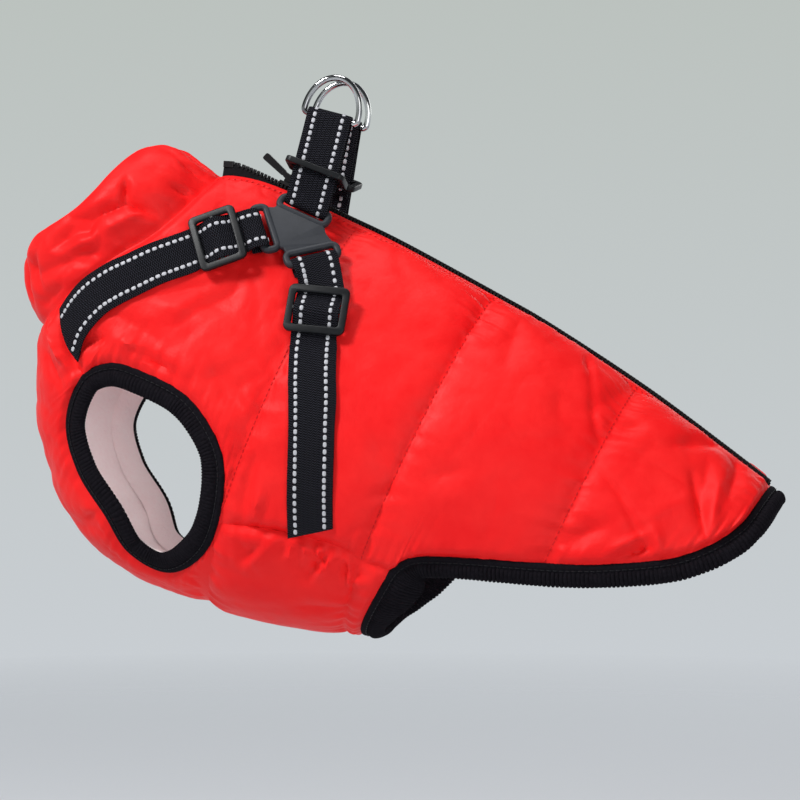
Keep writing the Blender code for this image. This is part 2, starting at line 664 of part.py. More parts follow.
def make_collar(shell):
    """The padded stand collar, open at the back where the zip ends."""
    gap = edge_round(1.0, zip_edge(1.0))
    around = np.linspace(gap, 2 - gap, 35)
    rise = np.array([0.05, 0.16, 0.34, 0.56, 0.78, 0.93, 1.0])
    ring_rise = np.concatenate([rise, rise[-2::-1]])
    face = np.array([1] * (len(rise) - 1) + [0] + [-1] * (len(rise) - 1))
    grid_round, grid_rise = np.meshgrid(around, ring_rise, indexing="ij")
    middle = collar_face(grid_round, grid_rise)
    step = 1e-3
    by_round = collar_face(grid_round + step, grid_rise) - collar_face(grid_round - step, grid_rise)
    by_rise = collar_face(grid_round, grid_rise + step) - collar_face(grid_round, grid_rise - step)
    normal = unit(np.cross(by_rise, by_round))
    centre = middle.mean((0, 1))
    normal *= np.sign(np.sum((middle - centre) * normal, -1))[..., None]
    full = smooth_lookup(COLLAR_RISE, np.minimum(grid_round, 2 - grid_round))[..., 2]
    thick = 0.8 + full * np.sin(math.pi * np.clip(grid_rise * 0.86, 0, 1))
    outside = thick - folds(COLLAR_FOLDS, np.minimum(grid_round, 2 - grid_round), grid_rise, collar_face)
    rim_round = np.sqrt(np.clip(1 - ((grid_rise - 0.78) / 0.22).clip(0, 1) ** 2, 0, 1))
    height = np.where(face > 0, outside, thick * 0.75) * face * rim_round
    rings = middle + normal * height[..., None]
    tube("collar", rings, shell)


# --------------------------------------------------------------------------------- the zip


def back_line(station):
    """Points on the middle of the back and the directions along it and out of it."""
    point = coat(station, np.zeros_like(station))
    along = unit(coat(station + 1e-3, 0 * station) - coat(station - 1e-3, 0 * station))
    out = np.stack([-along[..., 2], np.zeros_like(station), along[..., 0]], -1)
    return point, along, out


def make_zip(tape, plastic):
    """Tapes, the two rows of teeth as plain chains, their top stops, and the slider."""
    station = np.concatenate([np.linspace(ZIP_TOP, ZIP_OPEN_TO, 9)[:-1], np.linspace(ZIP_OPEN_TO, 11.0, 20)])
    point, _, out = back_line(station)
    wide = np.array([0.0, -1.0, 0.0])
    spread = opened(station)
    raised = ZIP_RISE * spread ** 1.3
    for label, side in SIDES:
        columns = []
        for distance, rise in ((2.7 + CHAIN_SPREAD * spread, 0.3 + raised), (zip_edge(station) + 0.2, 0.3),
                               (zip_edge(station) + TAPE_HIDDEN, 0.25)):
            on_coat = coat(station, edge_round(station, distance))
            columns.append(on_coat + out * np.broadcast_to(rise, station.shape)[:, None])
        sheet = np.stack(columns, 1)
        wall(f"zip_tape_{label}", side_of(sheet + TAPE_THICK * out[:, None], side), side_of(sheet, side), tape)

        low = point + out * (raised - 0.5)[:, None] + wide * (0.18 + CHAIN_SPREAD * spread)[:, None]
        corners = [low, low + wide * CHAIN_WIDTH, low + wide * CHAIN_WIDTH + out * CHAIN_HEIGHT,
                   low + out * CHAIN_HEIGHT]
        tube(f"zip_chain_{label}", side_of(np.stack(corners, 1), side), plastic)

        end_point, end_along, end_out = (value[0] for value in back_line(np.array([ZIP_TOP])))
        centre = end_point + end_out * (ZIP_RISE + 0.8) + wide * (1.3 + CHAIN_SPREAD) - end_along * 3.6
        stop = rounded([(-3.0, -1.9), (3.0, -1.9), (3.0, 1.9), (-3.0, 1.9)], 0.8, 2)
        frame = place_matrix(side_of(centre, side), end_along, wide)
        flat_plate(f"zip_stop_{label}", [stop], 3.4, frame, plastic)
    make_slider(plastic)


def pull_pin():
    """The pull's pin: its centre over the back line, and the directions along and out."""
    point, along, out = (value[0] for value in back_line(np.array([ZIP_OPEN_TO - 0.25])))
    return point + out * PULL_PIN_HEIGHT, along, out


def make_slider(plastic):
    """The slider's top plate with its bridge, and the pull on a pin through the bridge."""
    pin, along, out = pull_pin()
    wide = np.array([0.0, 1.0, 0.0])
    plate_height = PULL_PIN_HEIGHT - 3.3
    plate = rounded([(-5.2, -2.6), (4.6, -4.2), (4.6, 4.2), (-5.2, 2.6)], 1.2, 2)
    base = pin - out * (PULL_PIN_HEIGHT - plate_height)
    slider = flat_plate("zip_slider", [plate], 1.6, place_matrix(base, along, wide), plastic)
    ring = [(1.15 * math.cos(angle), 1.15 * math.sin(angle))
            for angle in np.linspace(0, 2 * math.pi, 13)[:-1]]
    bridge_edge = rounded([(-3.6, -3.3), (3.6, -3.3), (2.4, 2.4), (-2.4, 2.4)], 1.5, 3)
    # The bridge stands in the plane of X and Z, 1.5 mm thick.
    bridge = flat_plate("bridge_cutter", [bridge_edge, ring], 1.5, place_matrix(pin, along, out), plastic)
    join(slider, bridge, "UNION")

    direction = np.array([math.cos(PULL_REST), 0.0, math.sin(PULL_REST)])
    cheek = rounded([(-1.7, -1.7), (5.0, -1.4), (5.0, 1.4), (-1.7, 1.7)], 1.3, 3)
    sideways = np.cross(direction, wide)
    pull_edge = rounded([(4.4, -1.7), (PULL_LENGTH, -2.1), (PULL_LENGTH, 2.1), (4.4, 1.7)], 1.0, 2)
    pull = flat_plate("zip_pull", [pull_edge], 2.6, place_matrix(pin, direction, sideways), plastic)
    for offset in (-1.75, 1.75):
        piece = flat_plate("cheek_cutter", [cheek], 1.1,
                           place_matrix(pin + wide * offset, direction, sideways), plastic)
        join(pull, piece, "UNION")
    yoke_edge = rounded([(4.0, -2.3), (6.2, -2.3), (6.2, 2.3), (4.0, 2.3)], 0.5, 1)
    yoke = flat_plate("yoke_cutter", [yoke_edge], 2.6, place_matrix(pin, direction, wide), plastic)
    join(pull, yoke, "UNION")
    bar = [(0.8 * math.cos(angle), 0.8 * math.sin(angle)) for angle in np.linspace(0, 2 * math.pi, 11)[:-1]]
    rod = flat_plate("pin_cutter", [bar], 4.4, place_matrix(pin, along, out), plastic)
    join(pull, rod, "UNION")


def join(target, other, operation):
    """Apply a Boolean with another object and remove that object."""
    step = target.modifiers.new("join", "BOOLEAN")
    step.operation = operation
    step.object = other
    evaluated = target.evaluated_get(bpy.context.evaluated_depsgraph_get())
    mesh = bpy.data.meshes.new_from_object(evaluated)
    target.modifiers.clear()
    old = target.data
    target.data = mesh
    bpy.data.meshes.remove(old)
    bpy.data.objects.remove(other)


# ------------------------------------------------------------------------------ the harness


def connector_axes():
    """The connector's axes: u towards the tail, w up the plate, and out of it."""
    u = np.array([math.cos(CONNECTOR_YAW), math.sin(CONNECTOR_YAW), 0.0])
    flat_out = np.array([math.sin(CONNECTOR_YAW), -math.cos(CONNECTOR_YAW), 0.0])
    out = flat_out * math.cos(CONNECTOR_TILT) + np.array([0, 0, 1.0]) * math.sin(CONNECTOR_TILT)
    return u, np.cross(out, u), out


def slot_frame(index):
    """An outer bar of the connector: its middle, the way out from the plate's centre, its
    own direction, and the direction out of the plate."""
    u, w, out = connector_axes()
    along_u, along_w, angle = SLOTS[index]
    away = math.cos(math.radians(angle)) * u + math.sin(math.radians(angle)) * w
    middle = np.array(CONNECTOR_CENTRE) + u * along_u + w * along_w
    return middle, away, np.cross(out, away), out


def connector_outline():
    """The plate's edge, drawn in between its three loops, and its three slots."""
    ends = []
    holes = []
    half = SLOT_LENGTH / 2
    for along_u, along_w, angle in SLOTS:
        turn = math.radians(angle)
        away = np.array([math.cos(turn), math.sin(turn)])
        beside = np.array([-away[1], away[0]])
        bar = np.array([along_u, along_w])
        outer = bar + away * BAR_RADIUS
        ends.append((outer - beside * (half + RIM_WIDTH), outer + beside * (half + RIM_WIDTH), away))
        high = bar - away * BAR_RADIUS
        low = high - away * SLOT_WIDTH
        hole = [low - beside * half, high - beside * half, high + beside * half, low + beside * half]
        holes.append(rounded(hole, 0.9, 2))
    corners = []
    for index, (start, end, away) in enumerate(ends):
        following, _, next_away = ends[(index + 1) % len(ends)]
        neck = (end - away * NECK_DEPTH + following - next_away * NECK_DEPTH) / 2
        corners += [start, end, neck]
    return [rounded(corners, 1.6, 3)] + holes


def make_connector(label, side, plastic):
    """The flat three-way connector with a slot for each strap."""
    u, w, out = connector_axes()
    frame = place_matrix(side_of(np.array(CONNECTOR_CENTRE), side), side_of(u, side), side_of(w, side))
    outlines = connector_outline()
    flat_plate(f"connector_{label}", outlines, CONNECTOR_THICK, frame, plastic, bevel=0.5)


STRAP_COLUMNS = np.array([-1.0, -0.34, 0.34, 1.0])


def strap_line(rows, slot):
    """The line of a strap's middle on the coat, and its distances out from the connector bar."""
    middle, away, _, _ = slot_frame(slot)
    line = np.vstack([nearest(middle + away * STRAP_LANDS, rows[0]), rows])
    station, around = spaced(spline(line, np.linspace(0, len(line) - 1, 400)), 401)
    place = coat(station, around)
    steps = np.linalg.norm(np.diff(place, axis=0), axis=1)
    return station, around, STRAP_LANDS + np.concatenate([[0], np.cumsum(steps)])


def strap_on_coat(line, distances):
    """Points of a strap lying on the panel, at distances out from the connector bar."""
    station, around, length = line
    along = unit(np.gradient(coat(station, around), axis=0))
    along = np.stack([np.interp(distances, length, along[:, k]) for k in range(3)], -1)
    station, around = (np.interp(distances, length, value) for value in (station, around))
    sideways = unit(np.cross(outward(station, around), along))
    columns = []
    for column in STRAP_COLUMNS:
        to_station, to_round = shifted(station, around, sideways * column * WEBBING_WIDTH / 2)
        height = SHELL_THICK + puff(to_station, to_round) + STRAP_GAP + WEBBING_THICK / 2
        columns.append(coat(to_station, to_round) + outward(to_station, to_round) * height[:, None])
    return np.stack(columns, 1)


def round_bar_path(reach):
    """Points round a bar from under it to over it, as distances out from it and over it."""
    turns = np.radians(np.linspace(270, 90, 7))
    return [(reach * math.cos(turn), reach * math.sin(turn)) for turn in turns]


def strap_at_slot(index):
    """Rows of a strap at a connector slot: folded back under, round the bar and out over it."""
    middle, away, bar, out = slot_frame(index)
    reach = BAR_RADIUS + BAR_GAP + WEBBING_THICK / 2
    path = [(6.0, -reach + 0.3), (3.0, -reach)] + round_bar_path(reach) + [(SLOT_EXIT, reach - 0.4)]
    rows = []
    for distance, height in path:
        centre = middle + away * distance + out * height
        rows.append([centre + bar * column * WEBBING_WIDTH / 2 for column in STRAP_COLUMNS])
    return np.array(rows)


def ribbon(name, middle, finish):
    """A strap about its middle surface, with its thickness to both sides."""
    normal = unit(np.cross(np.gradient(middle, axis=0), np.gradient(middle, axis=1)))
    wall(name, middle + normal * WEBBING_THICK / 2, middle - normal * WEBBING_THICK / 2, finish)


def adjuster_outline(across, along):
    """A slide adjuster's edge and its two openings, side by side along the strap."""
    edge = [(-across / 2, -along / 2), (across / 2, -along / 2), (across / 2, along / 2),
            (-across / 2, along / 2)]
    outlines = [rounded(edge, 3.6, 3)]
    half = across / 2 - ADJUSTER_BAR + 0.2
    for sign in (-1, 1):
        near = sign * ADJUSTER_CENTRE_BAR / 2
        far = sign * (along / 2 - ADJUSTER_BAR)
        hole = [(-half, min(near, far)), (half, min(near, far)), (half, max(near, far)), (-half, max(near, far))]
        outlines.append(rounded(hole, 0.8, 2))
    return outlines


def make_strap(name, label, side, rows, slot, adjuster_at, webbing, plastic):
    """One strap from the connector to the seam that its end is sewn into, with its adjuster.

    Where it passes through the adjuster the strap is flat and rises over the centre bar. It is
    drawn straight from the connector to the coat, so the adjuster may lie a little off the coat.
    """
    line = strap_line(rows, slot)
    at_slot = strap_at_slot(slot)
    flat = strap_on_coat(line, adjuster_at + np.array([-4.0, 0.0, 4.0, FLAT_REACH[0]]))
    centre, end = flat[1, 1:3].mean(0), flat[3, 1:3].mean(0)
    across = flat[1, -1] - flat[1, 0]
    out = unit(np.cross(across, flat[2].mean(0) - flat[0].mean(0)))
    out *= -math.copysign(1, out[1])
    start = at_slot[-1].mean(0)
    share = (adjuster_at - SLOT_EXIT) / (adjuster_at + FLAT_REACH[0] - SLOT_EXIT)
    centre = centre + out * max(0.0, np.dot(start + (end - start) * share - centre, out))
    along = unit(end - centre)
    across = unit(across - along * np.dot(across, along))
    out = np.cross(across, along)
    out *= -math.copysign(1, out[1])

    rest = np.arange(adjuster_at + FLAT_REACH[1] + 2.0, line[2][-1] - 5.0, 13.0)
    distances = np.concatenate([adjuster_at + HUMP_ROWS, rest, line[2][-1:]])
    on_coat = strap_on_coat(line, distances)
    beyond = distances - adjuster_at
    height = HUMP_HEIGHT * np.exp(-(beyond / HUMP_LENGTH) ** 2)
    level = (centre + along * beyond[:, None] + out * height[:, None])[:, None]
    level = level + across * STRAP_COLUMNS[:, None] * WEBBING_WIDTH / 2
    share = np.clip((FLAT_REACH[1] - np.abs(beyond)) / (FLAT_REACH[1] - FLAT_REACH[0]), 0, 1)
    share = (share ** 2 * (3 - 2 * share))[:, None, None]
    on_coat = on_coat + (level - on_coat) * share
    if np.dot(on_coat[0, -1] - on_coat[0, 0], at_slot[0, -1] - at_slot[0, 0]) < 0:
        on_coat = on_coat[:, ::-1]
    ribbon(f"{name}_strap_{label}", side_of(np.vstack([at_slot, on_coat]), side), webbing)

    centre = centre + out * (ADJUSTER[2] / 2 + WEBBING_THICK / 2 + ADJUSTER_GAP)
    frame = place_matrix(side_of(centre, side), side_of(across, side), side_of(along, side))
    flat_plate(f"{name}_adjuster_{label}", adjuster_outline(ADJUSTER[0], ADJUSTER[1]), ADJUSTER[2],
               frame, plastic, bevel=0.45)


def riser_axes():
    """The riser: its foot on the connector's upper bar, its length, and its directions."""
    foot, _, bar, _ = slot_frame(0)
    head = np.array(D_RING_BAR)
    across = np.array([math.cos(D_RING_LEAN), 0.0, -math.sin(D_RING_LEAN)])
    bar = bar * math.copysign(1, bar[0])
    return foot, np.linalg.norm(head - foot), unit(head - foot), bar, across


def make_riser(label, side, webbing, plastic):
    """The riser strap: up from the connector, round the D-ring and down behind, with its cut
    end between the two layers, and the adjuster that holds the layers together."""
    foot, length, up, bar, across = riser_axes()
    reach = BAR_RADIUS + BAR_GAP + WEBBING_THICK / 2
    low = [(height, distance) for distance, height in
           ((math.cos(turn) * -reach, -math.sin(turn) * reach) for turn in np.linspace(0, math.pi, 7))]
    high = [(length + math.sin(turn) * reach, math.cos(turn) * reach) for turn in np.linspace(0, math.pi, 7)]
    path = [(37.0, 0.4), (30.0, 0.4), (20.0, 0.4), (12.0, -0.2), (5.0, -2.2)] + low
    path += [(6.0, 3.1), (14.0, 3.1), (20.0, 3.1), (28.0, 3.1), (38.0, 3.0), (length - 5.0, reach)] + high
    path += [(length - 6.0, -reach - 0.2), (36.0, -3.7), (28.0, -4.2), (20.0, -4.3), (13.0, -4.3)]
    square_up = unit(up - bar * np.dot(up, bar))
    rows = []
    for height, distance in path:
        share = min(max(height / length, 0), 1)
        width_way = unit((1 - share) * bar + share * across)
        out = np.cross(up, width_way)
        way = up if height > 0 else square_up
        centre = foot + way * height - unit(out) * math.copysign(1, out[1]) * distance
        rows.append([centre + width_way * column * WEBBING_WIDTH / 2 for column in (-1.0, 1.0)])
    ribbon(f"riser_strap_{label}", side_of(np.array(rows), side), webbing)

    share = RISER_ADJUSTER_AT / length
    width_way = unit((1 - share) * bar + share * across)
    depth_way = unit(np.cross(up, width_way))
    depth_way *= math.copysign(1, depth_way[1])
    centre = foot + up * RISER_ADJUSTER_AT + depth_way * RISER_ADJUSTER_BACK
    frame = place_matrix(side_of(centre, side), side_of(width_way, side), side_of(depth_way, side))
    flat_plate(f"riser_adjuster_{label}",
               adjuster_outline(WEBBING_WIDTH + 2 * ADJUSTER_BAR + 1.6, RISER_ADJUSTER_DEPTH),
               ADJUSTER[2], frame, plastic, bevel=0.45)


def make_d_ring(label, side, steel):
    """A D-ring of bent wire: a straight bar in the webbing and an arch over it."""
    across = np.array([math.cos(D_RING_LEAN), 0.0, -math.sin(D_RING_LEAN)])
    up = np.array([math.sin(D_RING_LEAN), 0.0, math.cos(D_RING_LEAN)])
    corner = 2.4
    half = D_RING_HALF_WIDTH
    path = [(-half + corner, 0.0), (0.0, 0.0), (half - corner, 0.0)]
    for angle in np.linspace(-60, 0, 3):
        turn = math.radians(angle)
        path.append((half - corner + corner * math.cos(turn), corner + corner * math.sin(turn)))
    for angle in np.linspace(0, 180, 17)[1:-1]:
        turn = math.radians(angle)
        path.append((half * math.cos(turn), corner + (D_RING_HEIGHT - corner) * math.sin(turn)))
    for angle in np.linspace(180, 240, 3):
        turn = math.radians(angle)
        path.append((-half + corner + corner * math.cos(turn), corner + corner * math.sin(turn)))
    curve = bpy.data.curves.new(f"d_ring_{label}", "CURVE")
    curve.dimensions = "3D"
    curve.bevel_depth = D_RING_WIRE * MM
    curve.bevel_resolution = 2
    line = curve.splines.new("POLY")
    line.points.add(len(path) - 1)
    for point, (x, y) in zip(line.points, path):
        place = side_of(across * x + up * y, side)
        point.co = (*(place * MM), 1)
    line.use_cyclic_u = True
    made = bpy.data.objects.new(f"d_ring_{label}", curve)
    made.location = Vector(side_of(np.array(D_RING_BAR), side) * MM)
    curve.materials.append(steel)
    COLLECTION.objects.link(made)


# -------------------------------------------------------------------------------- assembly

for old in list(bpy.data.objects):
    bpy.data.objects.remove(old)

COLLECTION = bpy.data.collections.new("dog_jacket")
bpy.context.scene.collection.children.link(COLLECTION)

NYLON = material("red_nylon", (0.80, 0.012, 0.010), 0.45)
FLEECE = material("white_fleece", (0.83, 0.74, 0.74), 0.95)
RIB = material("black_rib", (0.008, 0.008, 0.009), 0.9)
WEBBING = material("black_webbing", (0.010, 0.010, 0.013), 0.8)
TAPE = material("black_zip_tape", (0.012, 0.012, 0.014), 0.85)
PLASTIC = material("dark_grey_plastic", (0.045, 0.047, 0.052), 0.5)
TEETH = material("black_plastic", (0.015, 0.015, 0.017), 0.45)
STEEL = material("chromed_steel", (0.75, 0.75, 0.76), 0.12, 1.0)

make_panels(NYLON, FLEECE)
make_bindings(RIB)
make_collar(NYLON)
make_zip(TAPE, TEETH)
for LABEL, SIDE in SIDES:
    make_connector(LABEL, SIDE, PLASTIC)
    make_strap("chest", LABEL, SIDE, CHEST_STRAP, 1, CHEST_ADJUSTER_AT, WEBBING, PLASTIC)
    make_strap("girth", LABEL, SIDE, GIRTH_STRAP, 2, GIRTH_ADJUSTER_AT, WEBBING, PLASTIC)
    make_riser(LABEL, SIDE, WEBBING, PLASTIC)
    make_d_ring(LABEL, SIDE, STEEL)
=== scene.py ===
"""Looks of a dog jacket with a built-in webbing harness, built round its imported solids.

Shapes are worked out in millimetres: X runs towards the tail, Z is up, and the jacket's left
side, which the camera sees, has Y below zero. A mesh is scaled to metres when it is made.
"""

import math

import bmesh
import bpy
import numpy as np
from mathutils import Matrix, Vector


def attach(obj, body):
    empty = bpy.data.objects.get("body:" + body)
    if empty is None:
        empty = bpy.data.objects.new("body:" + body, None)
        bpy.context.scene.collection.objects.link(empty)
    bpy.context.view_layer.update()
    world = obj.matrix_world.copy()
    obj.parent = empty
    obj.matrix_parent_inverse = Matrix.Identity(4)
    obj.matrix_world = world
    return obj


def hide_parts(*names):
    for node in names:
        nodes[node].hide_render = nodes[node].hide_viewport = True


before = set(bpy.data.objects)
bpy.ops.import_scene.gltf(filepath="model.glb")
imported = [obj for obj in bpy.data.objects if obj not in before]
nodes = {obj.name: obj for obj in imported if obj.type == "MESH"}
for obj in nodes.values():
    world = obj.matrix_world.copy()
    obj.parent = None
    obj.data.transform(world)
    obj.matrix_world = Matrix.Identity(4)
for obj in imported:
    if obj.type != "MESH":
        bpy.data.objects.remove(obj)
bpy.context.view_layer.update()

# ------------------------------------------------------------------------------- the camera
# The photo is taken level with the jacket and a little from behind its left side, from far
# enough away that the two sides of the coat nearly cover each other.

camera_lens = bpy.data.cameras.new("camera")
camera_lens.lens = 113.84
camera_lens.sensor_width = 36.0
camera_lens.clip_end = 50.0
camera = bpy.data.objects.new("camera", camera_lens)
camera.location = (0.30966, -1.37428, -0.10242)
camera.rotation_euler = (math.radians(90.0), 0.0, math.radians(11.0))
bpy.context.scene.collection.objects.link(camera)
bpy.context.scene.camera = camera
bpy.context.scene.view_settings.view_transform = "Standard"

# ------------------------------------------------------------------ the shell's back panels
# Two panels of thin red nylon over light padding, cut in one piece from the zip down to the
# armhole and belly seams. Rows of quilting stitches hold the padding in broad channels, so
# the cloth arches between them and draws up in short puckers along every line of stitches.

MM = 0.001
LEFT, RIGHT = -1, 1
SIDES = (("left", LEFT), ("right", RIGHT))
SHELL_THICK = 2.0
PUFF_HEIGHT = 3.0
CHANNEL_RISE = 1.1        # behind the straps the padding stands this much prouder,
CHANNEL_FROM = (6.3, 0.7)  # from this station, within so many stations
CREASE_DEPTH = 1.4        # times the depths in the table of creases
LEAST_HEIGHT = 0.7        # of an outer face over the inner one, however deep the folds
CALMER = (4.2, 2.5, 0.55)  # the crumple lessens from here, within so many stations, by this share
ZIP_EDGE = 3.0
ZIP_SPREAD = 4.5
ZIP_TOP = 1.6
ZIP_OPEN_TO = 3.8
PLACKET_LIFT = 1.25
PLACKET_THICK = 0.9
PLACKET_ROWS = (3.6, 8.0)
PLACKET_STITCH = 6.4      # from a panel's zip edge to its row of topstitching

GIRTHS = (
    # back_x, back_z, belly_x, belly_z, half_width, ridge
    (-64.0, 20.5, -160.0, -61.5, 46.0, 0.20),
    (-56.0, 22.0, -161.0, -110.5, 53.0, 0.25),
    (-47.0, 21.5, -149.0, -152.5, 59.0, 0.32),
    (-33.0, 17.5, -131.0, -179.5, 64.0, 0.38),
    (-14.0, 9.0, -107.0, -197.5, 68.0, 0.42),
    (8.5, -2.0, -75.0, -210.5, 71.0, 0.42),
    (42.5, -18.5, -43.0, -220.0, 72.0, 0.36),
    (95.5, -47.5, 14.0, -229.0, 70.0, 0.28),
    (125.0, -64.5, 42.5, -233.5, 68.0, 0.25),
    (176.0, -98.0, 107.0, -247.5, 64.0, 0.20),
    (218.5, -129.5, 164.5, -249.5, 60.0, 0.20),
    (244.0, -149.5, 197.0, -250.0, 57.0, 0.20),
    (261.0, -164.5, 218.5, -251.0, 55.0, 0.20),
)
NECK_SEAM = (             # station along the girths, round from the back line to the belly line
    (0.75, 0.00), (0.95, 0.16), (0.85, 0.33), (0.45, 0.42), (0.20, 0.55), (0.08, 0.697), (0.0, 1.0),
)
CHEST_SEAM = ((0.08, 0.697), (0.55, 0.665), (1.12, 0.641), (1.60, 0.630))
ARMHOLE = (
    (1.60, 0.630), (2.10, 0.555), (3.00, 0.523), (4.00, 0.517), (4.75, 0.548), (5.20, 0.602),
    (5.37, 0.690), (5.22, 0.770), (4.65, 0.858), (3.95, 0.850), (3.30, 0.790), (2.40, 0.765),
    (1.75, 0.728),
)
ARMHOLE_REAR = 6.0
BELLY_SEAM = ((5.76, 0.674), (6.30, 0.663), (6.68, 0.662), (7.01, 0.680), (7.62, 0.684))
HEM = (
    (11.04, 0.0), (10.98, 0.174), (10.89, 0.293), (10.67, 0.367), (10.39, 0.424), (10.01, 0.478),
    (9.40, 0.537), (8.78, 0.581), (8.15, 0.628), (7.84, 0.651), (7.62, 0.684), (7.52, 0.730),
    (7.39, 0.803), (7.30, 0.882), (7.28, 1.0),
)
TAIL_CORNER = 10.86
BACK_MIDDLE = (1.75, 2.2, 3.0, 4.0, 4.7, 5.3, 6.0)
QUILTING = (0.0, 5.38, 7.0, 8.95)
PRESSED = (4.3, 0.20, 1.6, 0.16)
FOLDS = (
    # station, round, to_station, to_round, half_width, depth
    (1.15, 0.520, 3.10, 0.470, 7.0, 2.2),
    (2.20, 0.430, 3.90, 0.400, 9.0, -2.0),
    (4.60, 0.500, 5.20, 0.440, 6.0, 1.7),
    (5.75, 0.690, 6.10, 0.760, 5.0, 1.9),
    (6.35, 0.690, 6.60, 0.750, 5.0, 1.7),
    (9.10, 0.270, 10.60, 0.300, 8.0, 1.9),
    (9.60, 0.420, 10.20, 0.250, 8.0, -1.7),
)
CREASES = (               # smaller folds of the left side, seen in the photo; same columns
    (9.86, 0.248, 10.44, 0.396, 3.2, 3.6),
    (9.95, 0.190, 10.17, 0.335, 5.0, 2.2),
    (10.20, 0.240, 10.42, 0.390, 4.0, -2.2),
    (10.30, 0.091, 10.44, 0.254, 4.5, 2.9),
    (9.55, 0.195, 9.95, 0.075, 5.0, 2.5),
    (9.02, 0.349, 9.40, 0.393, 2.0, 1.3),
    (9.30, 0.383, 9.88, 0.490, 2.6, 2.0),
    (9.70, 0.410, 9.98, 0.480, 3.4, -1.8),
    (9.02, 0.520, 9.30, 0.455, 6.0, 2.9),
    (9.50, 0.520, 9.80, 0.462, 3.0, 2.9),
    (9.44, 0.500, 9.70, 0.440, 3.0, -2.0),
    (8.46, 0.076, 8.54, 0.143, 2.0, 1.0),
    (8.50, 0.110, 8.76, 0.240, 2.0, 1.7),
    (8.70, 0.225, 8.93, 0.300, 2.0, 1.7),
    (8.72, 0.240, 8.98, 0.080, 7.0, 2.0),
    (7.62, 0.120, 7.84, 0.260, 8.0, 1.4),
    (8.42, 0.240, 8.58, 0.310, 6.0, 1.2),
    (9.03, 0.245, 9.20, 0.185, 5.0, 1.4),
    (1.08, 0.618, 1.62, 0.545, 3.5, 4.5),
    (1.95, 0.520, 2.60, 0.500, 4.0, -2.2),
    (2.62, 0.506, 3.96, 0.500, 3.4, 3.2),
    (3.10, 0.439, 4.04, 0.335, 7.0, 2.2),
    (4.31, 0.464, 5.14, 0.501, 5.0, 2.8),
    (2.12, 0.430, 3.46, 0.346, 6.0, 1.7),
    (5.60, 0.560, 5.72, 0.650, 4.0, 2.9),
    (5.85, 0.600, 5.95, 0.655, 3.5, -2.2),
    (6.65, 0.471, 6.94, 0.507, 6.0, 1.4),
    (7.41, 0.507, 8.07, 0.458, 8.0, 1.4),
)


def spline(rows, at, closed=False):
    """Catmull-Rom curve through the rows of a table, at row numbers that need not be whole."""
    table = np.asarray(rows, float)
    at = np.asarray(at, float)
    count = len(table)
    if closed:
        first = np.floor(at).astype(int)
        near = [table[(first + step) % count] for step in (-1, 0, 1, 2)]
    else:
        first = np.clip(np.floor(at).astype(int), 0, count - 2)
        ends = np.vstack([2 * table[:1] - table[1:2], table, 2 * table[-1:] - table[-2:-1]])
        near = [ends[first + step] for step in (0, 1, 2, 3)]
    part = (at - first)[..., None]
    before, start, end, after = near
    return 0.5 * (2 * start + (end - before) * part
                  + (2 * before - 5 * start + 4 * end - after) * part ** 2
                  + (3 * start - before - 3 * end + after) * part ** 3)


def smooth_lookup(rows, value, key=0):
    """The row of a table at a value of its key column, on a smooth curve through the rows."""
    table = np.asarray(rows, float)
    table = table[np.argsort(table[:, key])]
    return spline(table, np.interp(value, table[:, key], np.arange(len(table))))


def unit(vectors):
    """Vectors scaled to length 1."""
    return vectors / np.maximum(np.linalg.norm(vectors, axis=-1, keepdims=True), 1e-12)


def travel(points, axis=0):
    """Distance along a grid of points from its first row, or from its first column."""
    steps = np.linalg.norm(np.diff(points, axis=axis), axis=-1)
    start = np.zeros_like(np.take(steps, [0], axis=axis))
    return np.concatenate([start, np.cumsum(steps, axis=axis)], axis=axis)


def coat(station, around):
    """A point of the shell's inner face. A girth goes down from the back line to the belly line
    by a cosine of round and out by a sine, drawn in towards the back by its ridge."""
    station, around = np.broadcast_arrays(np.asarray(station, float), np.asarray(around, float))
    back_x, back_z, belly_x, belly_z, half_width, ridge = np.moveaxis(spline(GIRTHS, station), -1, 0)
    turn = math.pi * around
    down = (1 - np.cos(turn)) / 2
    wide = np.sin(turn) * (1 - ridge * ((1 + np.cos(turn)) / 2) ** 2)
    return np.stack([back_x + (belly_x - back_x) * down,
                     -half_width * wide,
                     back_z + (belly_z - back_z) * down], -1)


def slopes(station, around, step=1e-3):
    """How the coat's point moves with the station and with round."""
    by_station = (coat(station + step, around) - coat(station - step, around)) / (2 * step)
    by_round = (coat(station, around + step) - coat(station, around - step)) / (2 * step)
    return by_station, by_round


def outward(station, around):
    """The direction out of the coat."""
    by_station, by_round = slopes(station, around)
    return unit(np.cross(by_round, by_station))


def shifted(station, around, move):
    """The station and round of a point moved along the coat by a vector in millimetres."""
    by_station, by_round = slopes(station, around)
    aa = np.sum(by_station * by_station, -1)
    ab = np.sum(by_station * by_round, -1)
    bb = np.sum(by_round * by_round, -1)
    am = np.sum(by_station * move, -1)
    bm = np.sum(by_round * move, -1)
    span = aa * bb - ab * ab
    return station + (am * bb - bm * ab) / span, around + (bm * aa - am * ab) / span


def edge_round(station, distance):
    """The round at which the coat is this far from the middle of the back."""
    half_width, ridge = np.moveaxis(spline(GIRTHS, station), -1, 0)[4:6]
    return distance / (math.pi * half_width * (1 - ridge))


def folded(around):
    """Round measured down the near side of either half: 0 on the back, 1 on the belly."""
    return np.minimum(around, 2 - around)


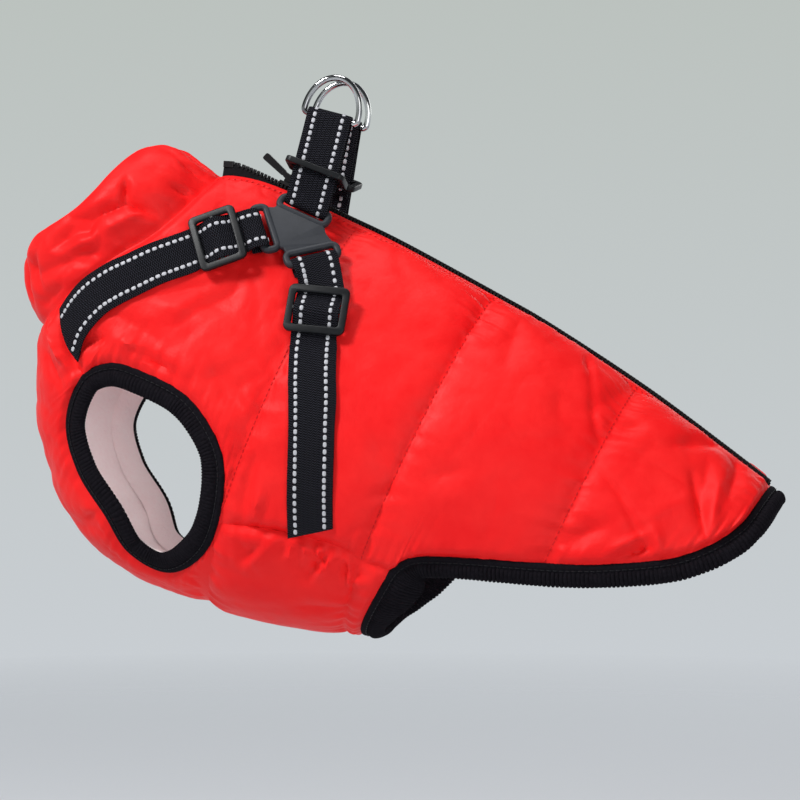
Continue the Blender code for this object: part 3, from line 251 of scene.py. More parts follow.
def folds(rows, first, second, surface):
    """Depth of all folds of a table. Each is a trough along a straight line between two points,
    partly round and partly a crisp crease, which fades at both ends."""
    point = surface(first, second)
    depth = np.zeros(point.shape[:-1])
    for start_a, start_b, end_a, end_b, half_width, deep in rows:
        start = surface(np.float64(start_a), np.float64(start_b))
        end = surface(np.float64(end_a), np.float64(end_b))
        along = end - start
        share = np.clip(np.sum((point - start) * along, -1) / np.dot(along, along), 0, 1)
        away = np.linalg.norm(point - (start + share[..., None] * along), axis=-1)
        trough = 0.45 * np.exp(-(away / half_width) ** 2) + 0.75 * np.exp(-1.6 * away / half_width)
        depth += deep * trough * (0.3 + 0.7 * np.sin(math.pi * share))
    return depth


def puff(station, around):
    """Height of the padding: a flat arch between two quilting lines, nothing at the zip."""
    lines = QUILTING + (11.3,)
    height = np.zeros(np.broadcast(station, around).shape)
    for start, end in zip(lines[:-1], lines[1:]):
        share = np.clip((station - start) / (end - start), 0, 1)
        height += np.sqrt(np.sin(math.pi * share))
    near = folded(around)
    pressed = np.exp(-((station - PRESSED[0]) / PRESSED[2]) ** 2 - ((near - PRESSED[1]) / PRESSED[3]) ** 2)
    return PUFF_HEIGHT * height * (1 - 0.85 * pressed) * np.clip(near / 0.14, 0, 1) ** 0.6


def waves(points, length, seed):
    """Soft random relief from about -1 to 1: plane sine waves in random directions, added up."""
    draw = np.random.default_rng(seed)
    total = np.zeros(points.shape[:-1])
    for _ in range(9):
        way = unit(draw.normal(size=3)) * 2 * math.pi / (length * draw.uniform(0.7, 1.5))
        total += np.sin(points @ way + draw.uniform(0, 2 * math.pi))
    return total / 3.0


def crumple(points, length, depth, seed):
    """Relief of crumpled cloth: flat facets between crisp creases, where two sets of waves are 0."""
    first, second = np.abs(waves(points, length, seed)), np.abs(waves(points, length * 1.3, seed + 50))
    return depth * (np.minimum(first, 0.8) + np.minimum(second, 0.8) - 0.9)


def puckers(away, along, reach, length, depth, seed):
    """Short gathers square to a line of stitches: sine waves along it that fade with distance."""
    draw = np.random.default_rng(seed)
    total = np.zeros(np.broadcast(away, along).shape)
    for _ in range(6):
        turn = along * 2 * math.pi / (length * draw.uniform(0.6, 1.7)) + draw.uniform(0, 2 * math.pi)
        total += np.sin(turn + away * draw.uniform(-0.12, 0.12))
    return depth * np.exp(-away / reach) * total / 2.4


def armhole_arc(first, last, count):
    """Points of the armhole's outline between two row numbers."""
    return spline(ARMHOLE, np.linspace(first, last, count), closed=True)


def belly_seam_at(stations):
    """Points of the belly seam, from the armhole to the hem, at these stations."""
    rows = np.vstack([armhole_arc(ARMHOLE_REAR, ARMHOLE_REAR, 1), BELLY_SEAM])
    points = smooth_lookup(rows, stations)
    points[:, 0] = stations
    return points


def hem_curve():
    """The hem of the left side as many close points, from the tail to the belly line."""
    return spline(HEM, np.linspace(0, len(HEM) - 1, 1000))


def hem_at(stations):
    """Points of the hem along the side, at these stations."""
    curve = hem_curve()[::-1]
    side = curve[np.argmin(np.abs(curve[:, 1] - BELLY_SEAM[-1][1])):]
    return np.stack([stations, np.interp(stations, side[:, 0], side[:, 1])], -1)


def hem_station(around):
    """Station of the hem at a round of 0 to 2."""
    curve = hem_curve()
    return np.interp(folded(around), curve[:, 1], curve[:, 0])


def neck_station(around):
    """Station of the neck seam at a round of 0 to 2."""
    return smooth_lookup(NECK_SEAM, folded(around), key=1)[..., 0]


def opened(station):
    """How far the zip is open at a station: 0 where it is closed, 1 at its top end."""
    return np.clip((ZIP_OPEN_TO - station) / (ZIP_OPEN_TO - ZIP_TOP), 0, 1)


def zip_edge(station):
    """How far a back panel's edge is from the middle of the back."""
    return ZIP_EDGE + ZIP_SPREAD * opened(station)


def coons(top, bottom, front, rear, shares):
    """A grid blended from its four edges, with rows at these shares from top to bottom."""
    u = np.linspace(0, 1, len(top))[:, None, None]
    w = shares[None, :, None]
    down = (1 - w) * top[:, None] + w * bottom[:, None]
    along = (1 - u) * front[None, :] + u * rear[None, :]
    corners = ((1 - u) * (1 - w) * top[0] + u * (1 - w) * top[-1]
               + (1 - u) * w * bottom[0] + u * w * bottom[-1])
    return down + along - corners


def side_grid():
    """Station and round of the left back panel's main points. Its top edge is the zip, its front
    edge the neck seam, its bottom edge the chest seam, armhole and belly seam, its rear the hem."""
    chest = spline(CHEST_SEAM, np.linspace(0, 3, 5))[:-1]
    rows = np.linspace(0, ARMHOLE_REAR, 14)[:-1]
    arc = spline(ARMHOLE, rows, closed=True)
    start = spline(ARMHOLE, ARMHOLE_REAR, closed=True)[0]
    belly = belly_seam_at(np.array([start, 5.6, 6.0, 6.4, 6.75, 7.0, 7.25, BELLY_SEAM[-1][0]]))
    hem = hem_at(np.array([BELLY_SEAM[-1][0], 7.75, 7.95, 8.25, 8.6, 8.95, 9.2, 9.5, 9.8, 10.1, 10.35,
                           10.55, 10.72, TAIL_CORNER]))
    bottom = np.vstack([chest, arc, belly, hem[1:]])
    front = neck_station(edge_round(1.0, zip_edge(1.0)))
    beyond = np.concatenate([belly[:, 0], hem[1:, 0]])
    top_station = np.concatenate([
        np.linspace(front, BACK_MIDDLE[0], 5)[:-1],
        np.interp(rows, np.arange(len(BACK_MIDDLE)), BACK_MIDDLE),
        np.interp(beyond, [start, belly[-1, 0], TAIL_CORNER], [BACK_MIDDLE[-1], 8.05, HEM[0][0]])])
    top = np.stack([top_station, edge_round(top_station, zip_edge(top_station))], -1)
    down = np.array([0.0, 0.045, 0.10, 0.21, 0.34, 0.48, 0.63, 0.81, 1.0])
    front_round = top[0, 1] + (bottom[0, 1] - top[0, 1]) * down
    front = np.stack([neck_station(front_round), front_round], -1)
    rear_round = top[-1, 1] + (bottom[-1, 1] - top[-1, 1]) * down
    rear = np.stack([hem_station(rear_round), rear_round], -1)
    station, around = np.moveaxis(coons(top, bottom, front, rear, down), -1, 0)
    for row, further in enumerate(PLACKET_ROWS, 1):
        around[:, row] = edge_round(station[:, row], zip_edge(station[:, row]) + further)
        station[0, row] = neck_station(around[0, row])
        station[-1, row] = hem_station(around[-1, row])
    return station, around


def refined(grid, rows, columns):
    """A grid of points or numbers on smooth curves through the points of a smaller one."""
    grid = np.stack(grid, -1) if isinstance(grid, tuple) else grid
    shape = grid.shape
    table = spline(grid.reshape(shape[0], -1), np.linspace(0, shape[0] - 1, rows))
    table = np.moveaxis(table.reshape(rows, shape[1], -1), 1, 0).reshape(shape[1], -1)
    table = spline(table, np.linspace(0, shape[1] - 1, columns))
    return np.moveaxis(table.reshape(columns, rows, -1), 0, 1)


def shell_relief(station, around, place, seed, creases):
    """Height of the shell's outer face over its plain inner face: its padding less its folds,
    with puckers on both sides of each quilting line and a soft crumple all over."""
    near = folded(around)
    per_station = np.linalg.norm(slopes(station, around)[0], axis=-1)
    height = SHELL_THICK + puff(station, around) - folds(FOLDS, station, near, coat)
    height += CHANNEL_RISE * np.clip((station - CHANNEL_FROM[0]) / CHANNEL_FROM[1], 0, 1)
    height -= CREASE_DEPTH * folds(creases, station, near, coat)
    for number, line in enumerate(QUILTING[1:]):
        away = np.abs(station - line) * per_station
        along = near * 250.0 + 6.0 * waves(place, 60.0, seed + number)
        height += puckers(away, along, 7.5, 9.0, 0.80, seed + 10 + number)
        height -= 0.4 * np.exp(-(away / 1.4) ** 2) + 2.6 * np.exp(-away / 6.5)
    height += 0.40 * waves(place, 62.0, seed + 20) + 0.16 * waves(place, 27.0, seed + 21)
    calm = 1 - CALMER[2] * np.clip((station - CALMER[0]) / CALMER[1], 0, 1)
    return height + calm * (crumple(place, 36.0, 0.95, seed + 22) + crumple(place, 13.0, 0.22, seed + 23))


def solid(name, points, faces, finish, body="jacket", uv=None, sharp=50.0):
    """A named piece from an array of points in millimetres and its faces. uv gives each point's
    place on the cloth, in centimetres along and across it."""
    mesh = bpy.data.meshes.new(name)
    mesh.from_pydata((np.asarray(points, float).reshape(-1, 3) * MM).tolist(), [], faces)
    if uv is not None:
        loops = np.empty(len(mesh.loops), int)
        mesh.loops.foreach_get("vertex_index", loops)
        at_loops = np.asarray(uv).reshape(-1, 2)[loops]
        mesh.uv_layers.new(name="cloth").data.foreach_set("uv", at_loops.ravel())
    shape = bmesh.new()
    shape.from_mesh(mesh)
    bmesh.ops.recalc_face_normals(shape, faces=shape.faces)
    shape.to_mesh(mesh)
    shape.free()
    mesh.shade_smooth()
    mesh.set_sharp_from_angle(angle=math.radians(sharp))
    mesh.materials.append(finish)
    piece = bpy.data.objects.new(name, mesh)
    bpy.context.scene.collection.objects.link(piece)
    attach(piece, body)
    return piece


def wall(name, outer, inner, finish, uv=None, extra=None, side=LEFT):
    """A closed wall between two grids of points of one size, and any extra closed shape."""
    rows, columns = outer.shape[:2]
    number = np.arange(rows * columns).reshape(rows, columns)
    lower = number + rows * columns
    quads = [np.stack([number[:-1, :-1], number[1:, :-1], number[1:, 1:], number[:-1, 1:]], -1),
             np.stack([lower[:-1, 1:], lower[1:, 1:], lower[1:, :-1], lower[:-1, :-1]], -1)]
    rim = np.concatenate([number[:, 0], number[-1, 1:], number[-2::-1, -1], number[0, -2:0:-1]])
    under = np.concatenate([lower[:, 0], lower[-1, 1:], lower[-2::-1, -1], lower[0, -2:0:-1]])
    quads.append(np.stack([rim, under, np.roll(under, -1), np.roll(rim, -1)], -1))
    faces = np.vstack([quad.reshape(-1, 4) for quad in quads]).tolist()
    if uv is not None:
        uv = np.concatenate([uv.reshape(-1, 2), uv.reshape(-1, 2)])
    points = np.concatenate([outer.reshape(-1, 3), inner.reshape(-1, 3)])
    if extra:
        faces += (extra[1] + len(points)).tolist()
        points = np.concatenate([points, mirrored(extra[0], side)])
        uv = np.concatenate([uv, extra[0][:, [0, 2]] / 10])
    return solid(name, points, faces, finish, uv=uv)


def mirrored(points, side):
    """Points made for the left side, or the same on the right."""
    return points if side == LEFT else points * np.array([1.0, -1.0, 1.0])


class Signal:
    """A socket of a material, with arithmetic: an expression on signals adds its Math nodes."""

    def __init__(self, tree, socket):
        self.tree, self.socket = tree, socket

    def math(self, operation, *values):
        return add_node(self.tree, "ShaderNodeMath", {"operation": operation}, dict(enumerate(values)))

    def __add__(self, other):
        return self.math("ADD", self, other)

    def __sub__(self, other):
        return self.math("SUBTRACT", self, other)

    def __rsub__(self, other):
        return self.math("SUBTRACT", other, self)

    def __mul__(self, other):
        return self.math("MULTIPLY", self, other)

    def __pow__(self, other):
        return self.math("POWER", self, other)

    __radd__, __rmul__ = __add__, __mul__

    def sine(self):
        return self.math("SINE", self)

    def clipped(self):
        return self.math("MINIMUM", self.math("MAXIMUM", self, 0.0), 1.0)


def add_node(tree, kind, settings, sockets, output=0):
    """A node of a kind, with its settings made first, then the values or links of its sockets."""
    node = tree.nodes.new(kind)
    for key, value in settings.items():
        setattr(node, key, value)
    for key, value in sockets.items():
        if isinstance(value, Signal):
            tree.links.new(value.socket, node.inputs[key])
        else:
            node.inputs[key].default_value = value
    return Signal(tree, node.outputs[output])


class Finish:
    """A Principled material whose colour, roughness and bump are built up from procedural detail.
    Keyword values are set on the shader's own sockets, the same all over."""

    def __init__(self, name, colour, roughness, **uniform):
        self.material = bpy.data.materials.new(name)
        self.material.use_nodes = True
        self.tree = self.material.node_tree
        self.shader = self.tree.nodes["Principled BSDF"]
        self.feed("Base Color", (*colour, 1.0))
        self.feed("Roughness", roughness)
        for key, value in uniform.items():
            self.feed(key.replace("_", " ").title().replace("Ior", "IOR"), value)
        self.material.diffuse_color = (*colour, 1.0)
        self.normal = None
        self.place = add_node(self.tree, "ShaderNodeTexCoord", {}, {}, 3)

    def feed(self, socket, value):
        if isinstance(value, Signal):
            self.tree.links.new(value.socket, self.shader.inputs[socket])
        else:
            self.shader.inputs[socket].default_value = value

    def noise(self, scale, detail=2.0, roughness=0.5):
        """Noise from 0 to 1 with so many grains a metre of the object's own space."""
        return add_node(self.tree, "ShaderNodeTexNoise", {}, {
            "Vector": self.place, "Scale": scale, "Detail": detail, "Roughness": roughness})

    def cloth(self):
        """Distance along and across the cloth, in centimetres."""
        uv = add_node(self.tree, "ShaderNodeUVMap", {"uv_map": "cloth"}, {})
        along = add_node(self.tree, "ShaderNodeSeparateXYZ", {}, {0: uv}, 0)
        across = add_node(self.tree, "ShaderNodeSeparateXYZ", {}, {0: uv}, 1)
        return along, across

    def blend(self, share, first, second):
        """A colour between two colours."""
        first, second = ((*value, 1.0) if isinstance(value, tuple) else value for value in (first, second))
        return add_node(self.tree, "ShaderNodeMix", {"data_type": "RGBA"}, {0: share, 6: first, 7: second}, 2)

    def bump(self, height, depth, strength=1.0):
        """Relief of this height signal, 0 to 1, and this depth in millimetres, over what is there."""
        sockets = {"Height": height, "Strength": strength, "Distance": depth * MM}
        if self.normal:
            sockets["Normal"] = self.normal
        self.normal = add_node(self.tree, "ShaderNodeBump", {}, sockets)
        self.feed("Normal", self.normal)


def nylon():
    """Thin plain-woven red nylon with a low gloss, crinkled finely all over."""
    finish = Finish("red_nylon_cloth", (0.92, 0.006, 0.008), 0.5, specular_ior_level=0.13)
    along, across = finish.cloth()
    thread = 2 * math.pi / 0.042
    weave = (along * thread).sine() * (across * thread).sine() * 0.5 + 0.5
    crinkle = finish.noise(120.0, 4.0, 0.55)
    patch = finish.noise(22.0, 2.0)
    finish.bump(weave, 0.05, 0.35)
    finish.bump(finish.noise(420.0, 3.0, 0.6), 0.10, 0.55)
    finish.bump(crinkle, 0.62, 0.6)
    finish.feed("Base Color", finish.blend((crinkle * 0.5 + patch * 0.9 - 0.2).clipped(),
                                           (0.82, 0.003, 0.006), (0.96, 0.024, 0.022)))
    finish.feed("Roughness", crinkle * 0.18 + 0.36)
    return finish.material


RED_NYLON = nylon()
SIDE_ROWS, SIDE_COLUMNS = 300, 112


def varied(rows, seed):
    """A table of folds like another's, each moved and changed a little, for the other side."""
    draw = np.random.default_rng(seed)
    rows = np.array(rows)
    shift = np.stack([draw.uniform(-0.16, 0.16, len(rows)), draw.uniform(-0.025, 0.025, len(rows))], -1)
    rows[:, :2] += shift
    rows[:, 2:4] += shift
    rows[:, 5] *= draw.uniform(0.7, 1.2, len(rows))
    return rows


def make_back_panel(label, side, seed, creases):
    """The outer face stands over the coat's surface by its relief, lifted along the zip over the
    tape, pressed into a row of topstitching and turned down at the seams."""
    station, around = np.moveaxis(refined(side_grid(), SIDE_ROWS, SIDE_COLUMNS), -1, 0)
    base = coat(station, around)
    out = outward(station, around)
    from_zip = travel(base, 1)
    from_seam = from_zip[:, -1:] - from_zip
    from_neck = travel(base)
    from_hem = from_neck[-1:] - from_neck
    placket = np.clip((PLACKET_ROWS[1] - from_zip) / (PLACKET_ROWS[1] - PLACKET_ROWS[0]), 0, 1)
    placket = placket ** 2 * (3 - 2 * placket)
    relief = shell_relief(station, around, base, seed, creases)
    relief += puckers(from_seam, from_neck[:, -1:] + 0 * from_seam, 9.0, 9.0, 0.75, seed + 30)
    relief += puckers(from_hem, from_zip, 9.0, 10.0, 0.50, seed + 31)
    relief += puckers(np.abs(from_zip - PLACKET_STITCH), from_neck, 4.0, 8.0, 0.16, seed + 32)
    height = np.maximum(relief, LEAST_HEIGHT) * (1 - placket) + (PLACKET_THICK + 0.5) * placket
    height -= 0.5 * np.exp(-((from_zip - PLACKET_STITCH) / 0.8) ** 2)
    for away, reach in ((from_seam, 3.2), (from_neck, 3.4), (from_hem, 3.0)):
        height *= 1 - 0.72 * np.exp(-(away / reach) ** 2)
    height -= 0.7 * np.exp(-(from_zip / 0.9) ** 2)
    lift = PLACKET_LIFT * placket
    outer = base + out * (lift + height)[..., None]
    inner = base + out * lift[..., None]
    uv = np.stack([from_neck, from_zip], -1) / 10
    panel = wall(f"shell_back_{label}", mirrored(outer, side), mirrored(inner, side), RED_NYLON, uv=uv)
    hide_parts(f"back_panel_{label}")
    return outer


SURFACE = {
    "left": make_back_panel("left", LEFT, 100, CREASES),
    "right": make_back_panel("right", RIGHT, 200, varied(CREASES, 7)),
}

# ------------------------------------------------------------------------- the chest panel
# One panel of the same padded nylon from seam to seam under the chest and belly. Its edge is
# longer than the back panel's, so it is gathered into the belly seam behind each armhole.

CHEST_MIDDLE = (0.9, 1.5, 2.3, 3.1, 3.9, 4.6, 5.2, 5.8)
GATHERS = (               # of the left side, under the belly seam; columns as for FOLDS
    (6.18, 0.680, 6.00, 0.756, 3.0, -2.0),
    (6.08, 0.690, 5.90, 0.740, 3.0, 1.9),
    (6.31, 0.672, 6.29, 0.700, 2.2, 1.9),
    (6.36, 0.672, 6.36, 0.715, 1.8, -1.6),
    (6.41, 0.672, 6.44, 0.700, 1.8, 1.9),
    (6.46, 0.672, 6.51, 0.695, 1.6, -1.4),
    (6.53, 0.668, 6.55, 0.690, 1.7, 1.9),
    (6.59, 0.665, 6.61, 0.690, 1.8, -1.6),
    (6.66, 0.680, 6.55, 0.742, 2.8, 2.8),
    (6.74, 0.678, 6.64, 0.730, 2.6, -2.3),
    (6.83, 0.684, 6.93, 0.738, 2.0, 2.4),
    (6.89, 0.686, 6.98, 0.754, 2.2, -2.0),
    (2.93, 0.843, 3.20, 0.785, 2.6, 2.0),
    (5.07, 0.839, 5.40, 0.862, 3.0, 1.6),
    (6.55, 0.822, 6.93, 0.812, 6.0, 1.2),
    (0.35, 0.715, 1.30, 0.652, 4.0, -4.9),
    (0.60, 0.760, 1.35, 0.690, 3.0, 2.0),
)


def chest_grid():
    """Station and round of the chest panel's main points, from the left seam to the right."""
    chest = spline(CHEST_SEAM, np.linspace(0, 3, 5))[:-1]
    rows = np.linspace(len(ARMHOLE), ARMHOLE_REAR, 20)[:-1]
    arc = spline(ARMHOLE, rows, closed=True)
    start = spline(ARMHOLE, ARMHOLE_REAR, closed=True)[0]
    belly = belly_seam_at(np.array([start, 5.6, 6.0, 6.4, 6.75, 7.0, 7.25, BELLY_SEAM[-1][0]]))
    edge = np.vstack([chest, arc, belly])
    facing = len(ARMHOLE) - np.arange(len(CHEST_MIDDLE))
    centre = np.concatenate([np.linspace(0, CHEST_MIDDLE[0], 5)[:-1],
                             np.interp(-rows, -facing, CHEST_MIDDLE),
                             np.interp(belly[:, 0], [start, belly[-1, 0]], [CHEST_MIDDLE[-1], HEM[-1][0]])])
    share = travel(coat(edge[:, 0], edge[:, 1]))
    share = (share / share[-1])[:, None]
    across = np.linspace(0, 1, 10)[None, :]
    station = edge[:, :1] + (centre[:, None] - edge[:, :1]) * (1 - (2 * across - 1) ** 2)
    around = edge[:, 1:] + (2 - 2 * edge[:, 1:]) * across
    station += (neck_station(around[0]) - station[0]) * (1 - share) ** 4
    station += (hem_station(around[-1]) - station[-1]) * share ** 4
    return station, around


def make_chest_panel(seed):
    """As a back panel, with the gathers of each half taken from its own table."""
    station, around = np.moveaxis(refined(chest_grid(), 270, 120), -1, 0)
    base = coat(station, around)
    out = outward(station, around)
    across = travel(base, 1)
    from_neck = travel(base)
    from_hem = from_neck[-1:] - from_neck
    relief = shell_relief(station, around, base, seed, GATHERS)
    other = folds(varied(GATHERS, 11), station, folded(around), coat)
    other = other - folds(GATHERS, station, folded(around), coat)
    relief -= np.where(around > 1, other, 0)
    for away, edge in ((across, 0), (across[:, -1:] - across, -1)):
        relief += puckers(away, from_neck[:, [edge]] + 0 * away, 9.0, 8.0, 0.70, seed + 30 + edge)
    relief += puckers(from_hem, across, 8.0, 10.0, 0.45, seed + 33)
    height = np.maximum(relief, 0.9)
    for away, reach in ((across, 3.2), (across[:, -1:] - across, 3.2), (from_neck, 3.4), (from_hem, 3.0)):
        height *= 1 - 0.72 * np.exp(-(away / reach) ** 2)
    uv = np.stack([from_neck, across], -1) / 10
    panel = wall("shell_chest", base + out * height[..., None], base, RED_NYLON, uv=uv)
    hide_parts("chest_panel")


make_chest_panel(300)

# ------------------------------------------------------------------------------- the lining
# White fleece with a short, soft pile, cut in the same three pieces as the shell and sewn
# to it round every edge. It is seen through the armholes, the neck and the open rear.


def fleece():
    """White polyester fleece: a fine, fuzzy pile that lies in small random tufts, tinted pink in its colour
    and sheen as painted red light bounced from the shell.
    """
    # The pink tint of these colours and of the sheen is painted light, red bounced from the shell; the fleece
    # itself is white.
    finish = Finish("white_fleece_pile", (0.83, 0.74, 0.74), 0.95, sheen_weight=0.5,
                    sheen_roughness=0.6, sheen_tint=(1.0, 0.96, 0.96, 1.0), specular_ior_level=0.15)
    tufts = finish.noise(520.0, 4.0, 0.65)
    lie = finish.noise(60.0, 3.0)
    finish.bump(lie, 1.2, 0.5)
    finish.bump(tufts, 0.55, 0.9)
    finish.feed("Base Color", finish.blend((tufts * 0.8 + lie * 0.6 - 0.2).clipped(),
                                           (0.97, 0.79, 0.80), (1.0, 0.93, 0.92)))
    return finish.material


WHITE_FLEECE = fleece()
LINING_THICK = 2.0
LAYER_GAP = 0.35          # between the lining and the shell
FLEECE_TURNING = (        # across the armhole's binding in millimetres, height over the shell's inside
    (-3.0, -2.2), (0.0, -3.5), (3.5, -3.75), (7.0, -3.7), (9.6, -3.2), (10.4, -3.5), (9.8, -4.4),
    (6.0, -5.4), (1.5, -5.1), (-2.6, -3.9),
)


def ring_faces(number, closed):
    """Faces that join numbered rings of points, each closed; open ends get a cap."""
    following = np.roll(number, -1, axis=0) if closed else number[1:]
    current = number if closed else number[:-1]
    quads = np.stack([current, np.roll(current, -1, 1), np.roll(following, -1, 1), following], -1)
    faces = quads.reshape(-1, 4).tolist()
    return faces if closed else faces + [number[0].tolist(), number[-1][::-1].tolist()]


def fleece_turning():
    """Points and faces of the lining's edge, drawn out over the inside of the armhole's binding."""
    station, around = np.moveaxis(armhole_arc(0, len(ARMHOLE), 181)[:-1], -1, 0)
    place = coat(station, around)
    inward = np.cross(outward(station, around), unit(np.roll(place, -1, 0) - np.roll(place, 1, 0)))
    inward *= np.sign(np.sum((place.mean(0) - place) * inward, -1))[:, None]
    rings = []
    for across, height in spline(FLEECE_TURNING, np.linspace(0, len(FLEECE_TURNING), 17)[:-1], closed=True):
        to_station, to_round = shifted(station, around, inward * across)
        rings.append(coat(to_station, to_round) + outward(to_station, to_round) * height)
    rings = np.stack(rings, 1)
    number = np.arange(rings.shape[0] * rings.shape[1]).reshape(rings.shape[:2])
    return rings.reshape(-1, 3), np.array(ring_faces(number, closed=True))


def make_lining(name, node, grid, rows, columns, side, seed):
    """A wall that follows the coat's surface just inside the shell, with a soft uneven face. The
    two side pieces also cover the inside of an armhole's binding, all but its rim."""
    station, around = np.moveaxis(refined(grid, rows, columns), -1, 0)
    base = coat(station, around)
    out = outward(station, around)
    soft = 0.25 * waves(base, 14.0, seed) + 0.45 * waves(base, 38.0, seed + 1)
    upper = base - out * LAYER_GAP
    lower = base - out * (LAYER_GAP + LINING_THICK + soft)[..., None]
    uv = np.stack([travel(base), travel(base, 1)], -1) / 10
    turning = fleece_turning() if name != "fleece_chest" else None
    piece = wall(name, mirrored(upper, side), mirrored(lower, side), WHITE_FLEECE, uv=uv, side=side,
                 extra=turning)
    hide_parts(node)


for label, side in SIDES:
    make_lining(f"fleece_back_{label}", f"lining_{label}", side_grid(), 130, 50, side, 400 + side)
make_lining("fleece_chest", "lining_chest", chest_grid(), 130, 60, LEFT, 402)

# -------------------------------------------------------------------------------- the collar
# A padded stand collar of the same nylon, sewn on at the neck seam and open at the back where
# the zip ends. It is turned over at the rim, and buckles into soft lobes between its folds.

COLLAR_RIM = (-97.0, 40.5, -168.5, -13.0, 42.0)
COLLAR_HEIGHT = 62.0      # as the puckers and the weave take it
COLLAR_CREASE_DEPTH = 1.5  # times the depths in the tables of its creases and folds
COLLAR_TUCK = -0.025      # its lowest rise, just under the edge of the shell
TURN_OVER = 0.78          # the rise where the collar begins to round over to its rim
COLLAR_RISE = (           # round, extra height over the rim, fullness
    (0.00, -1.5, 3.0), (0.10, -1.0, 4.4), (0.18, -1.0, 5.0), (0.27, -2.6, 6.0), (0.35, -5.0, 6.2),
    (0.43, -8.0, 5.8), (0.51, -9.7, 4.8), (0.59, -9.0, 4.2), (0.68, -6.8, 5.2), (0.76, -5.0, 6.0),
    (0.84, -6.5, 6.0), (1.00, -7.0, 5.4),
)
COLLAR_CREASES = (        # round, rise, to_round, to_rise, half_width, depth
    (0.364, 0.50, 0.455, 0.63, 4.0, 2.6),
    (0.440, 0.61, 0.550, 0.67, 6.5, 3.6),
    (0.540, 0.67, 0.660, 0.65, 5.5, 3.0),
    (0.500, 0.22, 0.602, 0.33, 4.5, 2.2),
    (0.590, 0.33, 0.740, 0.46, 5.5, 3.2),
    (0.668, 0.14, 0.800, 0.14, 4.0, 2.2),
    (0.322, 0.76, 0.369, 0.53, 2.4, 2.2),
    (0.369, 0.53, 0.323, 0.18, 2.8, 2.4),
    (0.345, 0.28, 0.440, 0.36, 4.0, -1.2),
    (0.440, 0.36, 0.620, 0.50, 4.0, -1.6),
    (0.470, 0.48, 0.500, 0.20, 2.2, 1.0),
    (0.240, 0.30, 0.215, 0.05, 2.2, 1.6),
    (0.150, 0.42, 0.135, 0.08, 2.2, 1.8),
    (0.090, 0.60, 0.080, 0.12, 2.0, 1.2),
    (0.730, 0.72, 0.800, 0.50, 3.4, 2.0),
    (0.830, 0.80, 0.860, 0.30, 3.6, 2.0),
    (0.930, 0.60, 0.990, 0.35, 3.6, 2.0),
)
COLLAR_FOLDS = (          # round, rise, to_round, to_rise, half_width, depth
    (0.56, 1.00, 0.50, 0.45, 6.0, 2.2),
    (0.62, 0.55, 0.52, 0.20, 6.0, 1.6),
    (0.34, 0.75, 0.36, 0.30, 5.0, 1.4),
    (0.80, 0.80, 0.74, 0.25, 6.0, 1.5),
)


def collar_face(around, rise):
    """A point of the collar's middle layer, on a straight line up from the neck seam, where rise
    is 0, to a slanted oval rim, where it is 1, and past it by the extra height there."""
    around, rise = np.broadcast_arrays(np.asarray(around, float), np.asarray(rise, float))
    base = coat(neck_station(around), around)
    back_x, back_z, throat_x, throat_z, half_width = COLLAR_RIM
    turn = math.pi * around
    down = (1 - np.cos(turn)) / 2
    rim = np.stack([back_x + (throat_x - back_x) * down, -half_width * np.sin(turn),
                    back_z + (throat_z - back_z) * down], -1)
    extra = smooth_lookup(COLLAR_RISE, folded(around))[..., 1]
    height = np.linalg.norm(rim - base, axis=-1)
    return base + (rim - base) * (rise * (1 + extra / height))[..., None]


def loft(name, rings, finish, closed=False, uv=None, **more):
    """A closed body through rings of points."""
    number = np.arange(rings.shape[0] * rings.shape[1]).reshape(rings.shape[:2])
    return solid(name, rings, ring_faces(number, closed), finish, uv=uv, **more)


